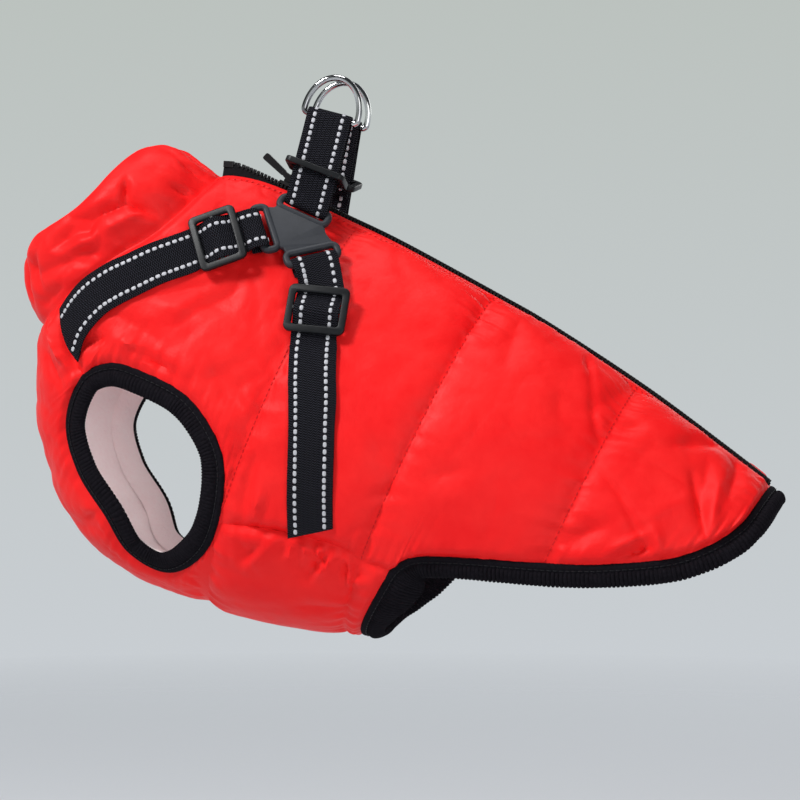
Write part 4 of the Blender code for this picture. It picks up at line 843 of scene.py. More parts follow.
def make_collar():
    """Rings go up the outside from just under the shell's edge, over the rim and down the inside.
    Their thickness is fullest half way up, and rounds off at the rim and at both ends by the zip."""
    gap = edge_round(1.0, zip_edge(1.0))
    around = np.linspace(gap, 2 - gap, 300)
    over = TURN_OVER + (1 - TURN_OVER) * np.sin(np.linspace(0, math.pi / 2, 12))
    rise = np.concatenate([np.linspace(COLLAR_TUCK, TURN_OVER, 26)[:-1], over])
    ring_rise = np.concatenate([rise, rise[-2::-1]])
    face = np.array([1] * (len(rise) - 1) + [0] + [-1] * (len(rise) - 1))
    grid_round, grid_rise = np.meshgrid(around, ring_rise, indexing="ij")
    middle = collar_face(grid_round, grid_rise)
    step = 1e-3
    by_round = collar_face(grid_round + step, grid_rise) - collar_face(grid_round - step, grid_rise)
    by_rise = collar_face(grid_round, grid_rise + step) - collar_face(grid_round, grid_rise - step)
    normal = unit(np.cross(by_rise, by_round))
    normal *= np.sign(np.sum((middle - middle.mean((0, 1))) * normal, -1))[..., None]
    near = folded(grid_round)
    full = smooth_lookup(COLLAR_RISE, near)[..., 2] + 1.5
    thick = 0.8 + full * np.sin(math.pi * np.clip(grid_rise * 0.86, 0, 1))
    upright = grid_rise * COLLAR_HEIGHT
    length = travel(middle)
    soft = 0.35 * waves(middle, 34.0, 500)
    soft = soft + crumple(middle, 24.0, 0.7, 501) + crumple(middle, 10.0, 0.15, 504)
    soft += puckers(upright, length, 9.0, 10.0, 0.8, 502)
    creased = folds(COLLAR_FOLDS + COLLAR_CREASES, near, grid_rise, collar_face)
    outside = thick - COLLAR_CREASE_DEPTH * creased * np.clip(0.2 + grid_rise * 6, 0, 1)
    outside += soft * np.clip(grid_rise * 5, 0, 1)
    outside *= 1 - 0.6 * np.exp(-(upright / 3.0) ** 2)
    rim = np.sqrt(np.clip(1 - ((grid_rise - TURN_OVER) / (1 - TURN_OVER)).clip(0, 1) ** 2, 0, 1))
    ends = np.minimum(length, length[-1:] - length)
    ends = np.sqrt(np.clip(1 - (1 - np.clip(ends / 5.0, 0.03, 1)) ** 2, 0, 1))
    height = np.where(face > 0, np.maximum(outside, LEAST_HEIGHT), thick * 0.75 + 0.3 * soft)
    height = height * face * rim * ends
    uv = np.stack([length, upright], -1) / 10
    piece = loft("padded_collar", middle + normal * height[..., None], RED_NYLON, uv=uv)
    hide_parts("collar")


make_collar()

# ---------------------------------------------------------------------- the ribbed bindings
# Black elastic rib folded over the raw edges of the armholes and the hem. The edge next to
# the shell is held flat by its stitching, and the rest rolls outwards in close ribs.

BINDING_WIDTH = 12.7
RIB_PITCH = 2.2
RIB_STEPS = 6             # points along each rib
ARMHOLE_RIB, HEM_RIB = 0.36, 0.60   # how deep the ribs are
BINDING_SECTION = (       # across the band as a share of its width, height over the shell's inside
    (-0.03, 0.9), (0.01, 1.9), (0.10, 2.35), (0.20, 2.3), (0.28, 1.85), (0.33, 1.75), (0.39, 2.4),
    (0.52, 2.95), (0.68, 2.8), (0.84, 2.0), (0.96, 0.9), (1.0, -0.3), (0.97, -1.5), (0.84, -2.6),
    (0.62, -3.2), (0.36, -3.2), (0.10, -2.7), (-0.02, -1.6),
)


def rib_knit():
    """Black elastic rib: matt, a little fuzzy, with the small stitches of a knit."""
    finish = Finish("black_rib_knit", (0.004, 0.003, 0.004), 0.9, specular_ior_level=0.06)
    loops = finish.noise(1500.0, 2.0, 0.6)
    finish.bump(loops, 0.18, 0.7)
    finish.bump(finish.noise(260.0, 3.0), 0.25, 0.5)
    finish.feed("Base Color", finish.blend(finish.noise(700.0, 3.0), (0.0018, 0.0014, 0.0024),
                                           (0.0130, 0.0110, 0.0150)))
    return finish.material


BLACK_RIB = rib_knit()


def spaced(station, around, count, closed=False):
    """Points along a line on the coat, spaced evenly by length."""
    length = travel(coat(station, around))
    wanted = np.linspace(0, length[-1], count + 1 if closed else count)
    wanted = wanted[:-1] if closed else wanted
    return np.interp(wanted, length, station), np.interp(wanted, length, around), length[-1]


def band(station, around, away, rib_depth):
    """Rings of a binding along a line on the coat; away is the way it stands off the line. Past
    the flat stitched edge the ring swells and sinks with each rib, by a sine of the length."""
    section = spline(BINDING_SECTION, np.linspace(0, len(BINDING_SECTION), 27)[:-1], closed=True)
    phase = np.arange(len(station)) * 2 * math.pi / RIB_STEPS
    uneven = 1 + 0.25 * np.sin(phase * 0.137) + 0.2 * np.sin(phase * 0.0613 + 1.0)
    swell = np.sqrt(np.abs(np.sin(phase / 2))) - 0.6
    rings = []
    for share, height in section:
        ribbed = np.clip((share - 0.30) / 0.08, 0, 1) if height > -2.0 else 0.4
        way = unit(np.array([(share - 0.62) * BINDING_WIDTH * 0.6, height + 0.3]))
        grow = rib_depth * (ribbed + 0.22) * swell * uneven
        move = away * (share * BINDING_WIDTH + grow * way[0])[:, None]
        to_station, to_round = shifted(station, around, move)
        rings.append(coat(to_station, to_round)
                     + outward(to_station, to_round) * (height + grow * way[1])[:, None])
    return np.stack(rings, 1)


line = armhole_arc(0, len(ARMHOLE), 2000)
arm_length = travel(coat(line[:, 0], line[:, 1]))[-1]
station, around, _ = spaced(line[:, 0], line[:, 1], int(arm_length / RIB_PITCH) * RIB_STEPS, closed=True)
place = coat(station, around)
ahead = unit(np.roll(place, -1, 0) - np.roll(place, 1, 0))
inward = np.cross(outward(station, around), ahead)
inward *= np.sign(np.sum((place.mean(0) - place) * inward, -1))[:, None]
armhole_rings = band(station, around, inward, ARMHOLE_RIB)
ARMHOLE_LINE = (station, around, inward)
for label, side in SIDES:
    piece = loft(f"rib_armhole_{label}", mirrored(armhole_rings, side), BLACK_RIB, closed=True)
    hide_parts(f"armhole_binding_{label}")

half = hem_curve()
half = half[half[:, 1] > edge_round(half[:, 0], ZIP_EDGE * 0.9)]
line = np.vstack([half, half[-2::-1] * np.array([1, -1]) + np.array([0, 2])])
hem_length = travel(coat(line[:, 0], line[:, 1]))[-1]
station, around, _ = spaced(line[:, 0], line[:, 1], int(hem_length / RIB_PITCH) * RIB_STEPS)
away = np.cross(outward(station, around), unit(np.gradient(coat(station, around), axis=0)))
piece = loft("rib_hem", band(station, around, away, HEM_RIB), BLACK_RIB)
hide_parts("hem_binding")
HEM_LINE = (station, around, away)

# ------------------------------------------------------------------------- the back zip
# A moulded plastic zip down the whole back. The tapes are sewn under the edges of the back
# panels, and above the slider they part and stand up, with a stop at the top of each.


def zip_tape():
    """Black woven polyester tape in a fine herringbone."""
    finish = Finish("black_zip_tape_weave", (0.008, 0.008, 0.009), 0.85, specular_ior_level=0.1)
    along, across = finish.cloth()
    bone = (along * 90.0 + ((across * 30.0).sine() * 1.5)).sine() * 0.5 + 0.5
    finish.bump(bone, 0.12, 0.8)
    finish.feed("Base Color", finish.blend(bone * finish.noise(300.0), (0.003, 0.003, 0.004),
                                           (0.016, 0.016, 0.018)))
    return finish.material


def plastic(name, dark, light, roughness):
    """Moulded plastic with a faint grain and light scuffs."""
    finish = Finish(name, dark, roughness, specular_ior_level=0.22)
    grain = finish.noise(1300.0, 2.0)
    scuff = finish.noise(90.0, 5.0, 0.7)
    finish.bump(grain, 0.035, 0.6)
    finish.bump(scuff, 0.05, 0.5)
    finish.feed("Base Color", finish.blend((scuff * 1.6 - 0.3).clipped(), dark, light))
    finish.feed("Roughness", grain * 0.12 + scuff * 0.16 + (roughness - 0.14))
    return finish.material


BLACK_TAPE = zip_tape()
BLACK_PLASTIC = plastic("black_zip_plastic", (0.005, 0.005, 0.006), (0.012, 0.012, 0.013), 0.42)
ZIP_RISE = 6.3            # how far the open end of the zip stands off the back
CHAIN_LIFT = 1.9          # how far the zip's teeth stand up between the two panel edges
TAPE_HIDDEN = 2.6
TAPE_THICK = 0.8
CHAIN_SPREAD = 2.4
TOOTH_PITCH = 2.1


def back_line(station):
    """Points on the middle of the back and the directions along it and out of it."""
    point = coat(station, np.zeros_like(station))
    along = unit(coat(station + 1e-3, 0 * station) - coat(station - 1e-3, 0 * station))
    out = np.stack([-along[..., 2], np.zeros_like(station), along[..., 0]], -1)
    return point, along, out


ACROSS = np.array([0.0, -1.0, 0.0])
station = np.concatenate([np.linspace(ZIP_TOP - 0.6, ZIP_OPEN_TO, 46)[:-1],
                          np.linspace(ZIP_OPEN_TO, 11.0, 110)])
point, along, out = back_line(station)
spread = opened(station)
raised = ZIP_RISE * spread ** 1.3
corners = []
lifted = CHAIN_LIFT * (1 - spread)
for distance, rise in ((0.4 + CHAIN_SPREAD * spread, 0.2 + raised + lifted),
                       (2.0 + CHAIN_SPREAD * spread, 0.3 + raised + 0.5 * lifted),
                       (zip_edge(station) + 0.2, 0.3),
                       (zip_edge(station) + TAPE_HIDDEN, 0.25)):
    place = coat(station, edge_round(station, distance))
    corners.append(place + out * np.broadcast_to(rise, station.shape)[:, None])
tape_sheet = refined(np.stack(corners, 1), len(station), 13)
tape_uv = np.stack([travel(tape_sheet), travel(tape_sheet, 1)], -1) / 10


def copies(name, shape, places, frames, finish):
    """One piece of many copies of a small shape: its points times each frame, plus each place."""
    points, faces = shape
    spots = np.einsum("mk,nkj->nmj", points, frames) + places[:, None]
    faces = [[corner + index * len(points) for corner in face]
             for index in range(len(places)) for face in faces]
    return solid(name, spots, faces, finish)


def stack_of(outlines):
    """A small closed shape from like outlines one over the other."""
    rings = np.array(outlines, float)
    count, sides = rings.shape[:2]
    faces = [[r * sides + s, r * sides + (s + 1) % sides,
              (r + 1) * sides + (s + 1) % sides, (r + 1) * sides + s]
             for r in range(count - 1) for s in range(sides)]
    faces += [list(range(sides))[::-1], [(count - 1) * sides + s for s in range(sides)]]
    return rings.reshape(-1, 3), faces


# A tooth seen from above: a foot on the tape and a wider head past the middle of the zip.
TOOTH = ((-0.55, 2.5), (0.55, 2.5), (0.55, 1.2), (0.38, 0.5), (0.62, -0.1), (0.5, -0.65), (-0.5, -0.65),
         (-0.62, -0.1), (-0.38, 0.5), (-0.55, 1.2))
tooth = stack_of([[(x * grow, y * (grow if y < 2 else 1), z) for x, y in TOOTH]
                  for z, grow in ((-0.5, 0.85), (-0.2, 1.0), (1.5, 1.0), (2.05, 0.72))])

for label, side in SIDES:
    piece = wall(f"zip_tape_weave_{label}", mirrored(tape_sheet + TAPE_THICK * out[:, None], side),
                 mirrored(tape_sheet, side), BLACK_TAPE, uv=tape_uv)
    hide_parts(f"zip_tape_{label}")

    start = TOOTH_PITCH * (1.0 if side == LEFT else 1.5) + 4.6
    length = travel(point)
    at = np.interp(np.arange(start, length[-1] - 1.0, TOOTH_PITCH), length, station)
    spot, ahead, up = back_line(at)
    apart = 0.05 + CHAIN_SPREAD * opened(at)
    height = CHAIN_LIFT * (1 - opened(at)) + 0.4 + ZIP_RISE * opened(at) ** 1.3
    spot = spot + up * height[:, None] + ACROSS * apart[:, None]
    frames = np.stack([ahead, np.broadcast_to(ACROSS, ahead.shape), up], 1)
    if side == RIGHT:
        spot, frames = mirrored(spot, side), frames * np.array([1.0, -1.0, 1.0])
    piece = copies(f"zip_teeth_{label}", tooth, spot, frames, BLACK_PLASTIC)
    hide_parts(f"zip_chain_{label}")
for name in ("zip_slider", "zip_pull", "zip_stop_left", "zip_stop_right"):
    nodes[name].data.materials.clear()
    nodes[name].data.materials.append(BLACK_PLASTIC)

# ------------------------------------------------------------------------------ the stitches
# Red thread in the quilting lines and along the zip, and black thread in the bindings. Each
# stitch is a short arched length of thread, sunk at both ends into its line.

STITCH_PITCH = 3.3


def thread(name, colour):
    """Twisted polyester thread with a slight gloss."""
    finish = Finish(name, colour, 0.5, specular_ior_level=0.2)
    light = tuple(min(1.0, value * 1.5) for value in colour)
    twist = finish.noise(2600.0, 1.0)
    finish.bump(twist, 0.06, 0.8)
    finish.feed("Base Color", finish.blend(twist, colour, light))
    return finish.material


RED_THREAD = thread("red_thread", (0.50, 0.006, 0.008))
BLACK_THREAD = thread("black_thread", (0.008, 0.008, 0.010))
stitch = stack_of([[(x, grow * 0.24 * math.cos(turn), bow + grow * 0.24 * math.sin(turn))
                    for turn in np.linspace(0, 2 * math.pi, 7)[:-1]]
                   for x, grow, bow in ((-1.35, 0.5, -0.25), (-1.0, 1.0, 0.02), (0.0, 1.0, 0.16),
                                        (1.0, 1.0, 0.02), (1.35, 0.5, -0.25))])


def sew(name, points, outs, finish):
    """Stitches end to end along lines of points with their directions out of the cloth."""
    places, frames = [], []
    for line, out in zip(points, outs):
        length = travel(line)
        at = np.arange(STITCH_PITCH / 2, length[-1], STITCH_PITCH)
        spot = np.stack([np.interp(at, length, line[:, k]) for k in range(3)], -1)
        up = unit(np.stack([np.interp(at, length, out[:, k]) for k in range(3)], -1))
        ahead = np.gradient(line, axis=0)
        ahead = np.stack([np.interp(at, length, ahead[:, k]) for k in range(3)], -1)
        ahead = unit(ahead - up * np.sum(ahead * up, -1, keepdims=True))
        places.append(spot)
        frames.append(np.stack([ahead, np.cross(up, ahead), up], 1))
    piece = copies(name, stitch, np.vstack(places), np.vstack(frames), finish)


def along_surface(surface, at):
    """Points of a shell's outer face in the column at a distance from the zip."""
    away = travel(surface, 1)
    return np.array([[np.interp(at, away[row], surface[row, :, k]) for k in range(3)]
                     for row in range(len(surface))])


for label, side in SIDES:
    outer = SURFACE[label]
    lines, outs = [along_surface(outer, PLACKET_STITCH + 0.6)], []
    station, around = np.moveaxis(refined(side_grid(), SIDE_ROWS, SIDE_COLUMNS), -1, 0)
    for line in QUILTING[1:]:
        column = []
        for k in range(14, SIDE_COLUMNS):
            values = station[:, k]
            if values.min() < line < values.max():
                place = int(np.argmin(np.abs(values - line)))
                other = place + (1 if values[place] < line else -1)
                if 0 < other < SIDE_ROWS:
                    share = (line - values[place]) / (values[other] - values[place])
                    column.append(outer[place, k] * (1 - share) + outer[other, k] * share)
        lines.append(np.array(column))
    for line in lines:
        middle = np.array([line[:, 0].mean() - 10, 0.0, line[:, 2].mean() - 70])
        outs.append(unit(line - middle))
    sew(f"stitches_back_{label}", [mirrored(line, side) for line in lines],
        [mirrored(out, side) for out in outs], RED_THREAD)

for name, (station, around, away), parts in (("armhole", ARMHOLE_LINE, SIDES),
                                             ("hem", HEM_LINE, (("all", LEFT),))):
    to_station, to_round = shifted(station, around, away * 0.25 * BINDING_WIDTH)
    out = outward(to_station, to_round)
    line = coat(to_station, to_round) + out * 2.25
    for label, side in parts:
        sew(f"stitches_{name}_{label}", [mirrored(line, side)], [mirrored(out, side)],
            BLACK_THREAD)

# --------------------------------------------------------------------------- the connectors
# On each side a flat three-way link of dark grey moulded plastic: a web with three loops
# round its slots, each a rounded bar that stands a little proud of the web between them.

CONNECTOR_CENTRE = (-6.3, -33.6, -12.0)
CONNECTOR_TILT = math.radians(31.0)
CONNECTOR_YAW = math.radians(16.0)
SLOTS = ((4.4, 18.7, 61.0), (-22.9, 2.4, 194.0), (7.2, -17.7, 285.0))
BAR_RADIUS = 1.5
SLOT_LENGTH = 25.8
SLOT_WIDTH = 4.8
NECK_DEPTH = 1.6
GREY_PLASTIC = plastic("dark_grey_moulded_plastic", (0.020, 0.022, 0.027), (0.036, 0.039, 0.047), 0.46)
DARK_PLASTIC = plastic("darker_moulded_plastic", (0.004, 0.0045, 0.0055), (0.010, 0.011, 0.013), 0.40)


def connector_axes():
    """The connector's axes: u towards the tail, w up the plate, and out of it."""
    u = np.array([math.cos(CONNECTOR_YAW), math.sin(CONNECTOR_YAW), 0.0])
    flat_out = np.array([math.sin(CONNECTOR_YAW), -math.cos(CONNECTOR_YAW), 0.0])
    out = flat_out * math.cos(CONNECTOR_TILT) + np.array([0, 0, 1.0]) * math.sin(CONNECTOR_TILT)
    return u, np.cross(out, u), out


def slot_frame(index):
    """An outer bar of the connector: its middle, the way out from the plate's centre, its own
    direction, and the direction out of the plate."""
    u, w, out = connector_axes()
    along_u, along_w, angle = SLOTS[index]
    away = math.cos(math.radians(angle)) * u + math.sin(math.radians(angle)) * w
    return np.array(CONNECTOR_CENTRE) + u * along_u + w * along_w, away, np.cross(out, away), out


def rounded(corners, radius, steps=6):
    """A closed outline with every corner rounded to a radius."""
    outline = []
    for index in range(len(corners)):
        here = np.array(corners[index], float)
        before = unit(np.array(corners[index - 1], float) - here)
        after = unit(np.array(corners[(index + 1) % len(corners)], float) - here)
        half = math.acos(np.clip(np.dot(before, after), -1, 1)) / 2
        centre = here + unit(before + after) * radius / math.sin(half)
        start = here + before * radius / math.tan(half) - centre
        end = here + after * radius / math.tan(half) - centre
        first = math.atan2(start[1], start[0])
        turn = (math.atan2(end[1], end[0]) - first + math.pi) % (2 * math.pi) - math.pi
        for way in (first + turn * step / steps for step in range(steps + 1)):
            outline.append(centre + radius * np.array([math.cos(way), math.sin(way)]))
    return np.array(outline)


def plate(outlines, thick, bevel):
    """Points and faces of a flat plate with rounded edges, from its outline and its holes'."""
    curve = bpy.data.curves.new("plate", "CURVE")
    curve.dimensions = "2D"
    curve.fill_mode = "BOTH"
    curve.extrude = thick / 2 - bevel
    curve.bevel_depth = bevel
    curve.bevel_resolution = 3
    curve.offset = -bevel
    for outline in outlines:
        line = curve.splines.new("POLY")
        line.points.add(len(outline) - 1)
        flat = np.column_stack([outline, np.zeros(len(outline)), np.ones(len(outline))])
        line.points.foreach_set("co", flat.ravel())
        line.use_cyclic_u = True
    shape = bpy.data.objects.new("plate", curve)
    bpy.context.scene.collection.objects.link(shape)
    mesh = bpy.data.meshes.new_from_object(shape.evaluated_get(bpy.context.evaluated_depsgraph_get()))
    bpy.data.objects.remove(shape)
    joined = bmesh.new()
    joined.from_mesh(mesh)
    bmesh.ops.remove_doubles(joined, verts=joined.verts, dist=0.01)
    joined.to_mesh(mesh)
    joined.free()
    points = np.array([vertex.co for vertex in mesh.vertices])
    return points, [list(face.vertices) for face in mesh.polygons]


def bead(outline, across, high):
    """Rings of a bar bent round a closed outline in its plane: an oval section, wide by high."""
    outline = np.asarray(outline, float)
    ahead = unit(np.roll(outline, -1, 0) - np.roll(outline, 1, 0))
    beside = np.stack([ahead[:, 1], -ahead[:, 0]], -1)
    rings = []
    for turn in np.linspace(0, 2 * math.pi, 17)[:-1]:
        flat = np.sign(math.cos(turn)) * abs(math.cos(turn)) ** 0.75 * across
        up = np.sign(math.sin(turn)) * abs(math.sin(turn)) ** 0.75 * high
        rings.append(np.column_stack([outline + beside * flat, np.full(len(outline), up)]))
    return np.stack(rings, 1)


def tubes(parts, closed=True):
    """Points and faces of several lofted closed rings, numbered as one shape."""
    points, faces = [], []
    for rings in parts:
        number = np.arange(rings.shape[0] * rings.shape[1]).reshape(rings.shape[:2])
        faces += ring_faces(number + sum(len(done) for done in points), closed)
        points.append(rings.reshape(-1, 3))
    return np.vstack(points), faces


def connector_parts():
    """The outline of the web between the loops, drawn in at each corner, and the loops' lines."""
    ends, loops = [], []
    half = SLOT_LENGTH / 2
    for along_u, along_w, angle in SLOTS:
        turn = math.radians(angle)
        away = np.array([math.cos(turn), math.sin(turn)])
        beside = np.array([-away[1], away[0]])
        bar = np.array([along_u, along_w])
        inner = bar - away * (BAR_RADIUS + SLOT_WIDTH + 0.9)
        ends.append((inner - beside * (half + 0.6), inner + beside * (half + 0.6), away))
        middle = bar - away * (BAR_RADIUS + SLOT_WIDTH / 2)
        wide, deep = half + 1.35, SLOT_WIDTH / 2 + 1.5
        loops.append(rounded([
            middle - beside * wide - away * deep, middle - beside * wide + away * deep,
            middle + beside * wide + away * deep, middle + beside * wide - away * deep], 3.0))
    corners = []
    for index, (start, end, away) in enumerate(ends):
        following, _, next_away = ends[(index + 1) % 3]
        corners += [start, end, (end + following) / 2 - unit(away + next_away) * NECK_DEPTH]
    return rounded(corners, 0.8), loops


for label, side in SIDES:
    u, w, out = connector_axes()
    turn = np.stack([u, w, out])
    outline, loops = connector_parts()
    web_points, web_faces = plate([outline], 3.0, 0.7)
    loop_points, loop_faces = tubes([bead(loop, 1.9, 1.9) for loop in loops])
    faces = web_faces + [[corner + len(web_points) for corner in face] for face in loop_faces]
    points = np.vstack([web_points, loop_points]) @ turn + np.array(CONNECTOR_CENTRE)
    piece = solid(f"moulded_connector_{label}", mirrored(points, side), faces, GREY_PLASTIC, sharp=40.0)
    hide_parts(f"connector_{label}")

# --------------------------------------------------------- the chest and girth straps
# Black woven webbing, 25 mm wide, with two rows of reflective dashes. Each strap is folded
# round its bar of the connector, passes through its slide adjuster and is sewn into a seam.

WEBBING_WIDTH = 25.0
WEBBING_THICK = 1.4
STRAP_GAP = 0.7
BAR_GAP = 0.9
CHEST_STRAP = (
    (2.51, 0.315), (1.62, 0.389), (0.97, 0.488), (0.78, 0.552), (0.76, 0.600), (0.82, 0.632),
    (0.88, 0.644),
)
GIRTH_STRAP = ((5.73, 0.374), (6.00, 0.447), (6.21, 0.519), (6.38, 0.596), (6.48, 0.648))
CHEST_ADJUSTER_AT, CHEST_SLANT = 22.0, 11.0
GIRTH_ADJUSTER_AT, GIRTH_SLANT = 31.0, -2.5
SLOT_EXIT = 5.0
STRAP_LANDS = 16.0
ADJUSTER = (33.6, 26.8, 2.6)
ADJUSTER_BAR = 4.1
ADJUSTER_CENTRE_BAR = 2.4
ADJUSTER_GAP = 0.75
CENTRE_BAR_THICK = 1.5
HUMP_HEIGHT = 4.2
HUMP_LENGTH = 6.2
HUMP_ROWS = np.array([-13.5, -10.0, -7.0, -4.5, -3.0, -1.3, 1.3, 3.0, 4.5, 7.0, 10.0, 14.0, 18.0])
FLAT_REACH = (12.0, 21.0)
STRAP_COLUMNS = np.array([-1.0, -0.34, 0.34, 1.0])
DASH_PITCH = 3.75
DASH_ROWS = 7.9           # from the middle of the strap


def webbing():
    """Black polyester webbing: fine twill ribs across it and a tighter edge, slightly blue, with a painted
    highlight on the crest of each rib.
    """
    finish = Finish("black_webbing_weave", (0.008, 0.008, 0.011), 0.7, specular_ior_level=0.08)
    along, across = finish.cloth()
    twill = (along * 48.0 + (across * 24.0).sine() * 2.2).sine() * 0.5 + 0.5
    fuzz = finish.noise(1400.0, 2.0)
    finish.bump(twill, 0.45, 1.0)
    finish.bump(fuzz, 0.10, 0.6)
    # Painted highlight: the colour goes from near black to bluish grey on the crests of the twill ribs, where
    # the threads catch the light.
    finish.feed("Base Color", finish.blend((twill * twill * twill + fuzz * 0.3 - 0.15).clipped(),
                                           (0.0004, 0.0004, 0.0008), (0.030, 0.030, 0.042)))
    return finish.material


def reflective():
    """Light grey reflective yarn, pale and faintly sparkling."""
    finish = Finish("reflective_yarn", (0.52, 0.52, 0.55), 0.45, specular_ior_level=0.5)
    yarn = finish.noise(2200.0, 2.0)
    finish.bump(yarn, 0.08, 0.7)
    finish.feed("Base Color", finish.blend(yarn, (0.36, 0.36, 0.39), (0.60, 0.60, 0.64)))
    return finish.material


BLACK_WEBBING = webbing()
REFLECTIVE = reflective()


def nearest(point, guess):
    """Station and round of the coat's point nearest to a point in space."""
    station, around = guess
    for _ in range(12):
        station, around = shifted(station, around, point - coat(station, around))
    return station, around


def strap_line(rows, slot):
    """The line of a strap's middle on the coat, and its distances out from the connector bar."""
    middle, away, _, _ = slot_frame(slot)
    line = np.vstack([nearest(middle + away * STRAP_LANDS, rows[0]), rows])
    line = spline(line, np.linspace(0, len(line) - 1, 400))
    station, around, length = spaced(line[:, 0], line[:, 1], 401)
    return station, around, STRAP_LANDS + travel(coat(station, around))


def strap_on_coat(line, distances, slant=0.0):
    """Points of a strap lying on the panel, at distances out from the connector bar. Its sewn
    end is cut on a slant, in millimetres from the middle to either edge."""
    station, around, length = line
    along = unit(np.gradient(coat(station, around), axis=0))
    along = np.stack([np.interp(distances, length, along[:, k]) for k in range(3)], -1)
    station, around = (np.interp(distances, length, value) for value in (station, around))
    sideways = unit(np.cross(outward(station, around), along))
    ending = slant * np.clip(1 - (distances[-1] - distances) / 30.0, 0, 1)
    columns = []
    for column in STRAP_COLUMNS:
        move = sideways * column * WEBBING_WIDTH / 2 + along * (ending * column)[:, None]
        to_station, to_round = shifted(station, around, move)
        height = SHELL_THICK + puff(to_station, to_round) + STRAP_GAP + WEBBING_THICK / 2
        columns.append(coat(to_station, to_round) + outward(to_station, to_round) * height[:, None])
    return np.stack(columns, 1)


def strap_at_slot(index):
    """Rows of a strap at a connector slot: folded back under, round the bar and out over it."""
    middle, away, bar, out = slot_frame(index)
    reach = BAR_RADIUS + BAR_GAP + WEBBING_THICK / 2
    turns = np.radians(np.linspace(270, 90, 7))
    path = [(6.0, -reach + 0.3), (3.0, -reach)]
    path += [(reach * math.cos(turn), reach * math.sin(turn)) for turn in turns] + [(SLOT_EXIT, reach - 0.4)]
    return np.array([[middle + away * distance + out * height + bar * column * WEBBING_WIDTH / 2
                      for column in STRAP_COLUMNS] for distance, height in path])


def ribbon(name, middle, node, side, turn_over=False):
    """Webbing about its middle surface, thinner at its two edges, with domed dashes of reflective
    yarn woven in at even distances along it."""
    length = travel(middle.mean(1))
    wanted = np.linspace(0, length[-1], int(length[-1] / 0.9))
    row = np.interp(wanted, length, np.arange(len(middle)))
    fine = spline(middle.reshape(len(middle), -1), row).reshape(len(row), middle.shape[1], 3)
    columns = 23
    table = np.moveaxis(fine, 1, 0).reshape(middle.shape[1], -1)
    table = spline(table, np.linspace(0, middle.shape[1] - 1, columns))
    fine = np.moveaxis(table.reshape(columns, len(row), 3), 0, 1)
    normal = unit(np.cross(np.gradient(fine, axis=0), np.gradient(fine, axis=1)))
    if turn_over:
        normal = -normal
    share = np.linspace(-1, 1, columns)
    groove = 0.10 * np.exp(-((np.abs(share) - 0.86) / 0.03) ** 2)
    thick = WEBBING_THICK / 2 * (1 - 0.45 * np.abs(share) ** 12) - groove
    uv = np.stack([travel(fine), travel(fine, 1)], -1) / 10
    face = fine + normal * thick[:, None]
    back = fine - normal * thick[:, None]
    piece = wall(name, mirrored(face, side), mirrored(back, side), BLACK_WEBBING, uv=uv)
    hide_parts(node)

    dome = [(x, y, 0.34 * h) for x, y, h in
            [(1.42 * grow * math.copysign(abs(math.cos(turn)) ** 0.7, math.cos(turn)),
              1.05 * grow * math.copysign(abs(math.sin(turn)) ** 0.7, math.sin(turn)), high)
             for grow, high in ((1.0, -0.3), (0.96, 0.35), (0.72, 0.85), (0.3, 1.0))
             for turn in np.linspace(0, 2 * math.pi, 11)[:-1]]]
    shape = stack_of(np.array(dome).reshape(4, 10, 3).tolist())
    along = travel(fine[:, columns // 2])
    places, frames = [], []
    at = np.arange(DASH_PITCH, along[-1] - 1.0, DASH_PITCH)
    index = np.interp(at, along, np.arange(len(along)))
    for row_side in (-1, 1):
        column = (1 + row_side * DASH_ROWS / (WEBBING_WIDTH / 2)) / 2 * (columns - 1)
        low = int(column)
        line = face[:, low] * (1 - column + low) + face[:, low + 1] * (column - low)
        spots = spline(line, index)
        before, after = (np.clip(index + step, 0, len(line) - 1) for step in (-0.6, 0.6))
        ahead = unit(spline(line, after) - spline(line, before))
        up = unit(spline(normal[:, low], index))
        places.append(spots)
        frames.append(np.stack([ahead, unit(np.cross(up, ahead)), up], 1))
    places, frames = np.vstack(places), np.vstack(frames)
    dashes = copies(name.replace("webbing", "dashes"), shape, mirrored(places, side),
                    mirrored(frames, side), REFLECTIVE)


def oblong(across, along, radius):
    """A rounded rectangle about the origin."""
    return rounded([(-across / 2, -along / 2), (across / 2, -along / 2), (across / 2, along / 2),
                    (-across / 2, along / 2)], radius)


def make_adjuster(name, node, across, along, thick, centre, across_way, along_way, side):
    """A slide adjuster: one flat moulded frame with a bar across it, thinner than the frame and
    set low, so that the strap passes over it and under the frame's two ends."""
    hole = oblong(across - 2 * ADJUSTER_BAR + 0.4, along - 2 * ADJUSTER_BAR, 1.6)
    points, faces = plate([oblong(across, along, 3.6), hole], thick, 0.7)
    bar, bar_faces = plate([oblong(across - 2.4, ADJUSTER_CENTRE_BAR, 0.9)], CENTRE_BAR_THICK, 0.5)
    faces += [[corner + len(points) for corner in face] for face in bar_faces]
    points = np.vstack([points, bar - np.array([0, 0, (thick - CENTRE_BAR_THICK) / 2 - 0.05])])
    x = unit(across_way)
    z = unit(np.cross(x, along_way))
    points = points @ np.stack([x, np.cross(z, x), z]) + centre
    piece = solid(name, mirrored(points, side), faces, DARK_PLASTIC, sharp=40.0)
    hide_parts(node)


